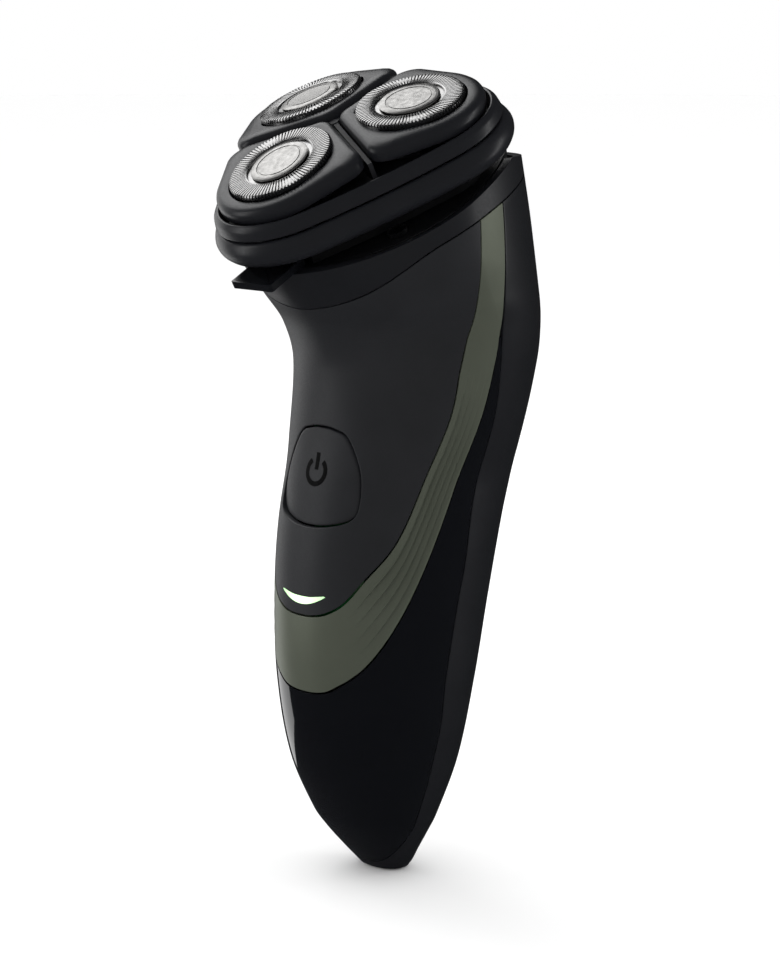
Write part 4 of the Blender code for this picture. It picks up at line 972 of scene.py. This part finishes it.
@dataclass
class Controls:
    """Power button with its mark, and the lit window under it."""

    form: HandleForm
    gap: float = 0.3 * MM
    dip: float = 1.0 * MM
    outline: tuple = ((0.0, 0.461), (5.0, 0.464), (9.4, 0.474), (10.3, 0.494), (9.4, 0.532), (6.4, 0.568),
                      (3.2, 0.577), (0.0, 0.579))

    def loop(self) -> Array:
        """Draws the button's outline from its right half.

        Returns:
            Rows of x and z, once round.
        """
        points = np.array(self.outline)
        points = np.concatenate([points[1:2] * (-1, 1), points, points[-2:-1] * (-1, 1)])
        half = through(points, 12) * (MM, self.form.length)
        half[0, 0] = half[-1, 0] = 0.0
        return np.concatenate([half, half[-2:0:-1] * (-1, 1)])

    def plug(self, name: str, outline: Array, levels: Sequence[tuple[float, float]], crown: bool,
             sink: Callable[[Array], Array] | None = None, rings: int = 1) -> bpy.types.Object:
        """A solid that follows the front skin inside an outline.

        Args:
            name: The piece's name.
            outline: The outline as x and z.
            levels: For each ring of the wall, how far out it is widened and how deep it lies.
            crown: Whether the first level is closed by rings that shrink to the middle.
            sink: How far the skin is drawn in at each height, or None.
            rings: How many rings close the crown.

        Returns:
            The closed solid.
        """
        middle = outline.mean(axis=0)
        ahead = np.roll(outline, -1, axis=0) - np.roll(outline, 1, axis=0)
        ahead /= np.linalg.norm(ahead, axis=1, keepdims=True)
        normal = np.stack([ahead[:, 1], -ahead[:, 0]], axis=1)
        normal *= np.sign(((outline - middle) * normal).sum(axis=1, keepdims=True))
        closed = [np.concatenate([a, a[:1]]) for a in (outline, normal)]
        shrink = [(levels[0][0], levels[0][1], k / rings) for k in range(rings)] if crown else []
        ladder = shrink + [(grow, depth, 1.0) for grow, depth in levels] + [(levels[-1][0], levels[-1][1], 0.0)]
        if not crown:
            ladder = [(levels[0][0], levels[0][1], 0.0)] + ladder

        def place(u: Array, v: Array) -> Array:
            """Lays each ring of the ladder on the front skin.

            Args:
                u: The share round the outline.
                v: The share down the ladder.

            Returns:
                Rows of x, y and z.
            """
            row = np.rint(v * (len(ladder) - 1)).astype(int)
            grow, depth, share = np.array(ladder)[row].T
            at = np.rint(u * len(outline)).astype(int)
            flat = middle + (closed[0][at] + closed[1][at] * grow[:, None] - middle) * share[:, None]
            y = self.form.front(flat[:, 0], flat[:, 1]) + depth
            if sink:
                y = y + sink(flat[:, 1])
            return np.stack([flat[:, 0], y, flat[:, 1]], axis=1)

        piece = grid(name, len(outline), len(ladder) - 1, place)
        tidy_mesh(piece)
        return piece

    def button(self, panel: bpy.types.Object) -> None:
        """The button in its opening, dipping behind the panel at its lower edge.

        Args:
            panel: The front panel, which gets the opening.
        """
        outline = self.loop()
        gap = self.gap
        flare = [(gap + 0.35 * MM, -1.5 * MM), (gap + 0.3 * MM, 0.0), (gap + 0.09 * MM, 0.1 * MM),
                 (gap, 0.32 * MM), (gap, 6 * MM)]
        cut(panel, self.plug("button_opening", outline, flare, crown=False))

        def sink(z: Array) -> Array:
            """How far the button lies behind the skin at each height."""
            return self.dip * (1 - smooth_step(z / self.form.length, 0.461, 0.528)) ** 1.5

        wall = [(-0.28 * MM, 0.0), (-0.1 * MM, 0.06 * MM), (0.0, 0.28 * MM), (0.0, 2.4 * MM)]
        piece = self.plug("power_button_fine", outline, wall, True, sink, rings=26)
        smooth(piece)
        settle(piece, "power_button", Look.SOFT_BLACK, "soft_black", "power_button")
        self.mark(sink)

    def mark(self, sink: Callable[[Array], Array]) -> None:
        """The standby mark on the button: an open ring and a bar.

        Args:
            sink: How far the button lies behind the skin at each height.
        """
        centre, radius, stroke = 84.2 * MM, 2.45 * MM, 0.95 * MM
        opening, thick = math.radians(38), 0.05 * MM

        def ring(u: Array, v: Array) -> Array:
            """Lays the ring out flat about the mark's middle.

            Args:
                u: The share round the ring.
                v: The share across its stroke.

            Returns:
                Rows of x and z.
            """
            angle = math.pi / 2 + opening + (2 * math.pi - 2 * opening) * u
            across = radius + stroke * (v - 0.5)
            return np.stack([across * np.cos(angle), across * np.sin(angle)], axis=1)

        def bar(u: Array, v: Array) -> Array:
            """The bar laid out flat about the mark's middle."""
            return np.stack([stroke * (v - 0.5), 0.3 * MM + 3.3 * MM * (1 - u)], axis=1)

        for name, rule, columns in (("power_mark_ring", ring, 72), ("power_mark_bar", bar, 16)):
            def place(u: Array, v: Array, rule: Place = rule) -> Array:
                """Lays the flat shape on the button.

                Args:
                    u: The share along the stroke.
                    v: The share across it.
                    rule: The flat shape.

                Returns:
                    Rows of x, y and z.
                """
                flat = rule(u, v)
                z = centre + flat[:, 1]
                y = self.form.front(flat[:, 0], z) + sink(z) - thick
                return np.stack([flat[:, 0], y, z], axis=1)

            piece = grid(name, columns, 4, place)
            orient(piece, from_middle)
            change(piece, "SOLIDIFY", thickness=0.3 * MM, offset=-1.0)
            smooth(piece)
            settle(piece, "power_button", Look.MARK_BLACK, "soft_black")

    def window(self, panel: bpy.types.Object) -> None:
        """The crescent light window.

        Args:
            panel: The front panel, which gets the opening.
        """
        middle, sag, half = 0.377 * self.form.length, 2.0 * MM, 6.0 * MM
        t = np.linspace(-1, 1, 41)
        lower = np.stack([half * t, middle - sag * (1 - t * t)], axis=1)
        upper = np.stack([half * t, middle - (sag - 1.5 * MM) * (1 - t * t) + 0.15 * MM], axis=1)[::-1]
        outline = np.concatenate([lower, upper])
        gap = 0.12 * MM
        flare = [(gap + 0.1 * MM, -1.5 * MM), (gap + 0.1 * MM, 0.0), (gap, 0.12 * MM), (gap, 6 * MM)]
        cut(panel, self.plug("window_opening", outline, flare, crown=False))
        wall = [(-0.1 * MM, -0.03 * MM), (0.0, 0.06 * MM), (0.0, 2.6 * MM)]
        piece = self.plug("light_window_fine", outline, wall, True, rings=4)
        smooth(piece)
        settle(piece, "handle", Look.LENS, "light_lens", "light_window")


# ---------------------------------------------------------------- the head


@dataclass
class HeadPlace:
    """Where the head, its lobes and its hinge are, read from the frame's joints."""

    cutter_drop: float = 3.0 * MM

    def __post_init__(self) -> None:
        """Reads the joints and sets up each lobe's frame: x outward, z along its own axis."""
        joints = {joint["name"]: joint for joint in frame["joints"]}
        self.axis = Vector(joints["motor_spin"]["axis"])
        self.hinge = Vector(joints["head_open"]["pos_m"])
        self.lobes = {}
        for name in ("front", "right", "left"):
            joint = joints[f"cutter_spin_{name}"]
            axis = Vector(joint["axis"])
            outward = self.level(axis)
            side = axis.cross(outward).normalized()
            centre = Vector(joint["pos_m"]) + axis * self.cutter_drop
            turn = Matrix((side.cross(axis), side, axis)).transposed()
            self.lobes[name] = Matrix.Translation(centre) @ turn.to_4x4()
        self.centre = sum((m.to_translation() for m in self.lobes.values()), Vector()) / 3
        right = Vector((1, 0, 0))
        turn = Matrix((right, self.axis.cross(right), self.axis)).transposed()
        self.frame = Matrix.Translation(self.centre) @ turn.to_4x4()
        self.reach = (self.lobes["front"].to_translation() - self.centre).length

    def level(self, axis: Vector) -> Vector:
        """The part of an axis that lies in the head's plane."""
        return (axis - self.axis * axis.dot(self.axis)).normalized()


@dataclass
class Head:
    """Shell, bezel, lobes, caps and badges of the opening head."""

    place: HeadPlace
    cap_radius: float = 10.75 * MM
    lobe_radius: float = 14.3 * MM
    rim: float = 3.05 * MM
    gap: float = 1.9 * MM
    bulge: float = 0.8 * MM
    slots: int = 90
    columns: int = 288

    def outline(self, share: Array, radius: Array) -> Array:
        """Points round the head.

        Args:
            share: How far round each point is, from 0 to 1.
            radius: Its distance from the nearest lobe's centre.

        Returns:
            Rows of x and y in the head's plane.
        """
        half, reach, bulge = self.cap_radius + self.rim, self.place.reach, self.bulge
        back = (half**2 - bulge**2) / (2 * bulge)
        lean = math.asin(half / (back + bulge))
        third = np.floor(share * 3 - 1e-12)
        local = share * 3 - third
        corner_share = 0.62
        facing = -math.pi / 2 + third * 2 * math.pi / 3
        corner = local < corner_share
        spread = math.pi / 3 - lean
        t = np.where(corner, facing - spread + 2 * spread * local / corner_share, 0)
        m = facing + math.pi / 3
        s = m - lean + 2 * lean * (local - corner_share) / (1 - corner_share)
        start = reach / 2 - back
        x = np.where(corner, reach * np.cos(facing) + radius * np.cos(t),
                     start * np.cos(m) + (back + bulge + radius) * np.cos(s))
        y = np.where(corner, reach * np.sin(facing) + radius * np.sin(t),
                     start * np.sin(m) + (back + bulge + radius) * np.sin(s))
        return np.stack([x, y], axis=1)

    def band(self, node: str, profile: Sequence[tuple[float, float]], soft: float) -> None:
        """A closed band round the head.

        Args:
            node: The node that it stands for.
            profile: Its cross-section in millimetres, as distance past the lobes' edge and height.
            soft: How far its corners are rounded.
        """
        ring = rounded(in_mm(profile, self.lobe_radius), soft, 4)
        ring = np.array([*ring, ring[0]])

        def place(u: Array, v: Array) -> Array:
            """Carries the cross-section round the outline.

            Args:
                u: The share round the head.
                v: The share round the cross-section.

            Returns:
                Rows of x, y and z.
            """
            row = np.rint(v * (len(ring) - 1)).astype(int)
            flat = self.outline(u % 1.0, ring[row, 0])
            local = np.stack([flat[:, 0], flat[:, 1], ring[row, 1]], axis=1)
            return moved(self.place.frame, local)

        piece = grid(f"{node}_fine", self.columns, len(ring) - 1, place)
        tidy_mesh(piece)
        smooth(piece)
        settle(piece, "head", Look.HEAD_BLACK, "head_black", node)

    def shells(self) -> None:
        """Lower shell and bezel, with the dark groove between them."""
        lower = [(1.75, -8.5), (2.5, -9.6), (2.95, -10.9), (2.7, -12.3), (1.5, -13.9), (-1.4, -13.9),
                 (-1.2, -12.9), (1.2, -11.5), (0.4, -8.5)]
        bezel = [(0.55, -5.2), (1.35, -6.0), (1.8, -8.1), (0.6, -8.25), (-0.8, -8.3), (-0.1, -6.6), (0.05, -5.25)]
        self.band("head_shell", lower, 0.9 * MM)
        self.arm()
        self.band("head_bezel", bezel, 0.5 * MM)

    def arm(self) -> None:
        """The arm that joins the lower shell to the hinge pin, between the two lugs."""
        back = self.place.reach / 2 + self.bulge + self.lobe_radius + 0.6 * MM
        root = self.place.frame @ Vector((0, back, -12.9 * MM))
        pin, width = self.place.hinge, 8.4 * MM
        rise = math.degrees(math.atan2(root.z - pin.z, root.y - pin.y))
        outline = side_arc((pin.y, pin.z), 2.2 * MM, rise - 270, rise - 90)
        outline += side_arc((root.y, root.z), 1.5 * MM, rise - 90, rise + 90)
        piece = slab("hinge_arm", outline, -width, width, 0.3 * MM)
        settle(piece, "head", Look.HEAD_BLACK, "head_black")

    def lobe_outline(self, angle: Array) -> Array:
        """A lobe's outline: a round side, two corners and a blunt tip.

        Args:
            angle: The direction that its edge faces.

        Returns:
            Rows of x and y in the lobe's plane.
        """
        side, corner, tip = self.lobe_radius, 4.0 * MM, 2.9 * MM
        flat = self.place.reach * math.sin(math.pi / 3) - self.gap / 2
        turn = (np.degrees(angle) + 180) % 360 - 180
        size = np.abs(turn)
        sign = np.where(turn < 0, -1.0, 1.0)
        sixty, wide = math.radians(60), math.radians(150)
        cx = (side - corner) * math.cos(sixty) + (flat - corner) * math.cos(wide)
        cy = (side - corner) * math.sin(sixty) + (flat - corner) * math.sin(wide)
        centre_x = np.where(size <= 60, 0.0, np.where(size <= 150, cx, -(flat - tip) / math.cos(math.pi / 6)))
        centre_y = np.where(size <= 60, 0.0, np.where(size <= 150, cy * sign, 0.0))
        radius = np.where(size <= 60, side, np.where(size <= 150, corner, tip))
        return np.stack([centre_x + radius * np.cos(angle), centre_y + radius * np.sin(angle)], axis=1)

    def lobe(self) -> bpy.types.Object:
        """Models a lobe: a soft shoulder round the cap, a domed edge and a straight side.

        Returns:
            The model, about the origin.
        """
        mouth = self.cap_radius + 0.45 * MM
        arcs = ((-60, 60, 49), (60, 150, 25), (150, 210, 13), (210, 300, 25))
        angles = np.radians(np.concatenate([np.linspace(*arc) for arc in arcs]))
        profile = [(1, -2.6), (1, -1.25), (1, -1.05), (0.86, -1.0), (0.62, -1.02), (0.4, -1.1), (0.22, -1.3),
                   (0.1, -1.62), (0.03, -2.05), (0.0, -2.5), (0.0, -4.0), (0.04, -4.2), (0.5, -4.2)]
        shares, heights = np.array(profile).T
        inner = [mouth - 0.1 * MM, mouth - 0.1 * MM, mouth]

        def lay(u: Array, v: Array) -> Array:
            """Takes each row of the profile round the outline.

            Args:
                u: The share round the lobe.
                v: The share down the profile.

            Returns:
                Rows of x, y and z.
            """
            at = np.rint(u * (len(angles) - 1)).astype(int)
            row = np.rint(v * (len(profile) - 1)).astype(int)
            outer = self.lobe_outline(angles[at])
            direction = np.arctan2(outer[:, 1], outer[:, 0])
            ring = np.stack([np.cos(direction), np.sin(direction)], axis=1) * mouth
            flat = outer + (ring - outer) * shares[row][:, None]
            for k in range(3):
                tight = np.stack([np.cos(direction), np.sin(direction)], axis=1) * inner[k]
                flat = np.where((row == k)[:, None], tight, flat)
            return np.concatenate([flat, heights[row][:, None] * MM], axis=1)

        piece = grid("lobe_model", len(angles) - 1, len(profile) - 1, lay)
        orient(piece, lambda face: face.normal.z)
        change(piece, "SOLIDIFY", thickness=0.9 * MM, offset=-1.0)
        smooth(piece, 50)
        return piece

    def cap(self) -> bpy.types.Object:
        """Models a shaving cap: a drawn steel ring with radial slots sunk across its track.

        The slots are pockets with closed floors; on a real cap they go through.

        Returns:
            The model, about the origin.
        """
        rim, track = self.cap_radius / MM, self.cap_radius / MM - 3.85
        profile = [(track - 1.2, -0.5), (track - 0.15, -0.5), (track, -0.12), (track + 0.25, 0.0),
                   (rim - 0.75, 0.0), (rim - 0.3, -0.1), (rim - 0.05, -0.4), (rim, -0.8), (rim, -2.6),
                   (rim - 0.5, -2.6), (rim - 0.5, -1.2), (track, -1.0), (track - 1.2, -1.0)]
        piece = spun("cap_model", in_mm(profile), 2 * self.slots)
        step = math.pi / self.slots
        activate(piece)
        bpy.ops.object.mode_set(mode="EDIT")
        bpy.ops.mesh.select_all(action="DESELECT")
        bpy.ops.mesh.select_mode(type="FACE")
        bpy.ops.object.mode_set(mode="OBJECT")
        for face in piece.data.polygons:
            centre = face.center
            ring = math.hypot(centre.x, centre.y)
            column = int((math.atan2(centre.y, centre.x) % (2 * math.pi)) / step)
            face.select = column % 2 == 0 and (track + 0.2) * MM < ring and centre.z > -0.7 * MM
        bpy.ops.object.mode_set(mode="EDIT")
        bpy.ops.mesh.extrude_region_shrink_fatten(TRANSFORM_OT_shrink_fatten={"value": -0.32 * MM})
        bpy.ops.object.mode_set(mode="OBJECT")
        smooth(piece, 32)
        return piece

    def badge(self) -> bpy.types.Object:
        """Models the plain disc in the middle of a cap, faced in rings.

        Returns:
            The model, about the origin.
        """
        edge = self.cap_radius / MM - 4.75
        profile = [(0.0, 0.1), (0.45 * edge, 0.12), (0.72 * edge, 0.15), (0.74 * edge, 0.06),
                   (0.765 * edge, 0.06), (0.785 * edge, 0.15), (0.93 * edge, 0.13), (edge, -0.05),
                   (edge, -0.2), (edge - 0.6, -0.3), (edge - 0.6, -1.2), (0.0, -1.2)]
        piece = spun("badge_model", in_mm(profile), 96)
        smooth(piece, 30)
        return piece

    def cutting_units(self) -> None:
        """Sets out the lobe, the cap and the badge three times, each in its own frame."""
        lobe, cap, badge = models = self.lobe(), self.cap(), self.badge()
        for name, place in self.place.lobes.items():
            steel = TurnedMetal(f"Drawn razor steel {name}", "b4b3b1", 0.24, place, 0.22, 0.004).make()
            silver = TurnedMetal(f"Faced aluminium {name}", "b4b3b1", 0.34, place, 0.5, 0.01, "a3a2a0").make()
            for model, kind, look, slot in ((lobe, "lobe", Look.HEAD_BLACK, "head_black"),
                                            (cap, "shaving_cap", steel, "cap_steel"),
                                            (badge, "cap_badge", silver, "badge_silver")):
                piece = copied(model, f"{kind}_{name}_fine", place)
                settle(piece, f"lobe_{name}", look, slot, f"{kind}_{name}")
        for model in models:
            bpy.data.objects.remove(model, do_unlink=True)


def moved(place: Matrix, points: Array) -> Array:
    """Points from a place's own axes to the frame's."""
    turn = np.array(place.to_3x3())
    return points @ turn.T + np.array(place.to_translation())


# ---------------------------------------------------------------- carried-over nodes


@dataclass
class CarriedNodes:
    """Nodes whose shape is right: they keep their mesh and get a finish and softened edges."""

    looks: dict = field(default_factory=lambda: {
        Look.STEEL: ("hinge_pin", "tact_switch", "motor_can", "cover_screw_left", "cover_screw_right",
                     "release_spring", "spindle_spring_front", "spindle_spring_right", "spindle_spring_left",
                     "cutter_front", "cutter_right", "cutter_left"),
        Look.NICKEL: ("battery_contact_top", "battery_contact_bottom", "inlet_pin_left", "inlet_pin_right"),
        Look.DARK_PLASTIC: ("inner_frame", "inlet_socket", "motor_end_cap", "retaining_frame", "spindle_front",
                            "spindle_right", "spindle_left", "cap_retainer_front", "cap_retainer_right",
                            "cap_retainer_left"),
        Look.WHITE_ACETAL: ("drive_chassis", "spindle_gear_front", "spindle_gear_right", "spindle_gear_left"),
        Look.DECK_BLACK: ("drive_cover",),
        Look.TAB_BLACK: ("release_button",),
        Look.COPPER: ("motor_rotor",),
        Look.BRASS: ("motor_pinion",),
        Look.CELL_GREEN: ("battery_cell",),
        Look.BOARD_GREEN: ("circuit_board",),
        Look.LENS: ("charge_led",),
    })
    softened: dict = field(default_factory=lambda: {"release_button": 0.35 * MM, "drive_cover": 0.2 * MM})

    def dress(self) -> None:
        """Gives each node its finish, and each softened node its rounded edges."""
        for look, names in self.looks.items():
            for name in names:
                node = frame["nodes"][name]
                node.data.materials.clear()
                node.data.materials.append(look.material())
                LOG.info("%s: carried over as %s", name, look.value.name)
        for name, width in self.softened.items():
            node = frame["nodes"][name]
            weld = node.modifiers.new("Weld", "WELD")
            weld.merge_threshold = MIRROR_MERGE
            bevel = node.modifiers.new("Bevel", "BEVEL")
            bevel.width, bevel.segments = width, 3
            bevel.limit_method, bevel.angle_limit = "ANGLE", math.radians(40)


# ---------------------------------------------------------------- studio


@dataclass
class Studio:
    """Pale floor, soft lights and the camera."""

    aim: Vector = field(default_factory=lambda: Vector((0, 0, 0.080)))
    distance: float = 0.500
    azimuth: float = 45.0
    elevation: float = 10.3
    lens: float = 93.3
    shift: float = 0.006
    floor_radius: float = 6.0
    floor_drop: float = 0.4 * MM
    # Azimuth, elevation, distance, width and height, and watts: one high on the left, a large one level with
    # the shaver, a tall one nearer the front for the gloss, and a thin one behind that lifts the far edge.
    lights: tuple = ((-102, 46, 0.80, (0.55, 0.42), 1.5), (-92, 0, 0.80, (0.50, 0.90), 1.6),
                     (-42, 8, 0.90, (0.26, 0.70), 1.1), (140, 12, 0.80, (0.05, 0.60), 0.7))
    # Colour and strength of the surround: in reflections, as light on the piece, and as the backdrop.
    surround: tuple = (("c9ccd2", 0.05), ("ffffff", 1.1), ("ffffff", 1.0))

    def seen_from(self, azimuth: float, elevation: float, distance: float) -> Vector:
        """A point round the aim; azimuth 0 is in front of the shaver."""
        a, e = math.radians(azimuth), math.radians(elevation)
        return self.aim + distance * Vector((math.sin(a) * math.cos(e), -math.cos(a) * math.cos(e), math.sin(e)))

    def look_at(self, item: bpy.types.Object) -> None:
        """Turns a camera or a light to the aim."""
        item.rotation_euler = (self.aim - item.location).to_track_quat("-Z", "Y").to_euler()

    def camera(self) -> None:
        """The camera in three-quarter view."""
        deselect()
        bpy.ops.object.camera_add(location=self.seen_from(self.azimuth, self.elevation, self.distance))
        camera = bpy.context.object
        camera.data.lens, camera.data.sensor_width = self.lens, 36
        camera.data.shift_x = self.shift
        camera.data.clip_start = 0.01
        self.look_at(camera)
        bpy.context.scene.camera = camera

    def light(self, azimuth: float, elevation: float, distance: float, size: tuple[float, float],
              power: float) -> None:
        """One soft rectangular light, turned to the aim.

        Args:
            azimuth: Its direction round the aim, in degrees.
            elevation: Its height above the aim, in degrees.
            distance: How far off it stands.
            size: Its width and height.
            power: Its power in watts.
        """
        deselect()
        bpy.ops.object.light_add(type="AREA", location=self.seen_from(azimuth, elevation, distance))
        light = bpy.context.object
        light.data.shape, light.data.size, light.data.size_y = "RECTANGLE", *size
        light.data.energy = power
        self.look_at(light)

    def room(self) -> None:
        """Pale floor, and a white surround that lights the piece only faintly."""
        deselect()
        bpy.ops.mesh.primitive_circle_add(vertices=96, radius=self.floor_radius, fill_type="NGON",
                                          location=(0, 0, -self.floor_drop))
        floor = bpy.context.object
        floor.name = "studio_floor"
        floor.visible_glossy = floor.visible_shadow = False
        # Near white with no highlight: it carries only the faintest shade under the foot.
        paint = MouldedPlastic("Pale matte floor paint", "fdfdfd", 0.95, "fefefe", 5.0, 0.01)
        floor.data.materials.append(paint.make())
        world = bpy.data.worlds.new("Soft surround")
        world.use_nodes = True
        bpy.context.scene.world = world
        tree = world.node_tree
        tree.nodes.clear()
        path = add(tree, "ShaderNodeLightPath")
        near, around, far = (add(tree, "ShaderNodeBackground", {"Color": linear(colour), "Strength": strength})
                             for colour, strength in self.surround)
        first = add(tree, "ShaderNodeMixShader", {0: path.outputs["Is Glossy Ray"], 1: around.outputs[0],
                                                  2: near.outputs[0]})
        mix = add(tree, "ShaderNodeMixShader", {0: path.outputs["Is Camera Ray"], 1: first.outputs[0],
                                                2: far.outputs[0]})
        add(tree, "ShaderNodeOutputWorld", {"Surface": mix.outputs[0]})

    def build(self) -> None:
        """Sets up the whole studio."""
        self.camera()
        self.room()
        for light in self.lights:
            self.light(*light)
        bpy.context.scene.view_settings.view_transform = "Standard"


def main() -> None:
    """Builds the shaver's looks in order and reports each piece."""
    logging.basicConfig(level=logging.INFO, format="%(message)s")
    place = HeadPlace()
    handle = Handle()
    panel = handle.panel()
    controls = Controls(handle.form)
    controls.button(panel)
    controls.window(panel)
    smooth(panel)
    settle(panel, "handle", Look.SOFT_BLACK, "soft_black", "front_housing")
    handle.trim()
    handle.cover()
    handle.rear()
    handle.collar(place)
    head = Head(place)
    head.shells()
    head.cutting_units()
    CarriedNodes().dress()
    Studio().build()


if __name__ == "__main__":
    main()
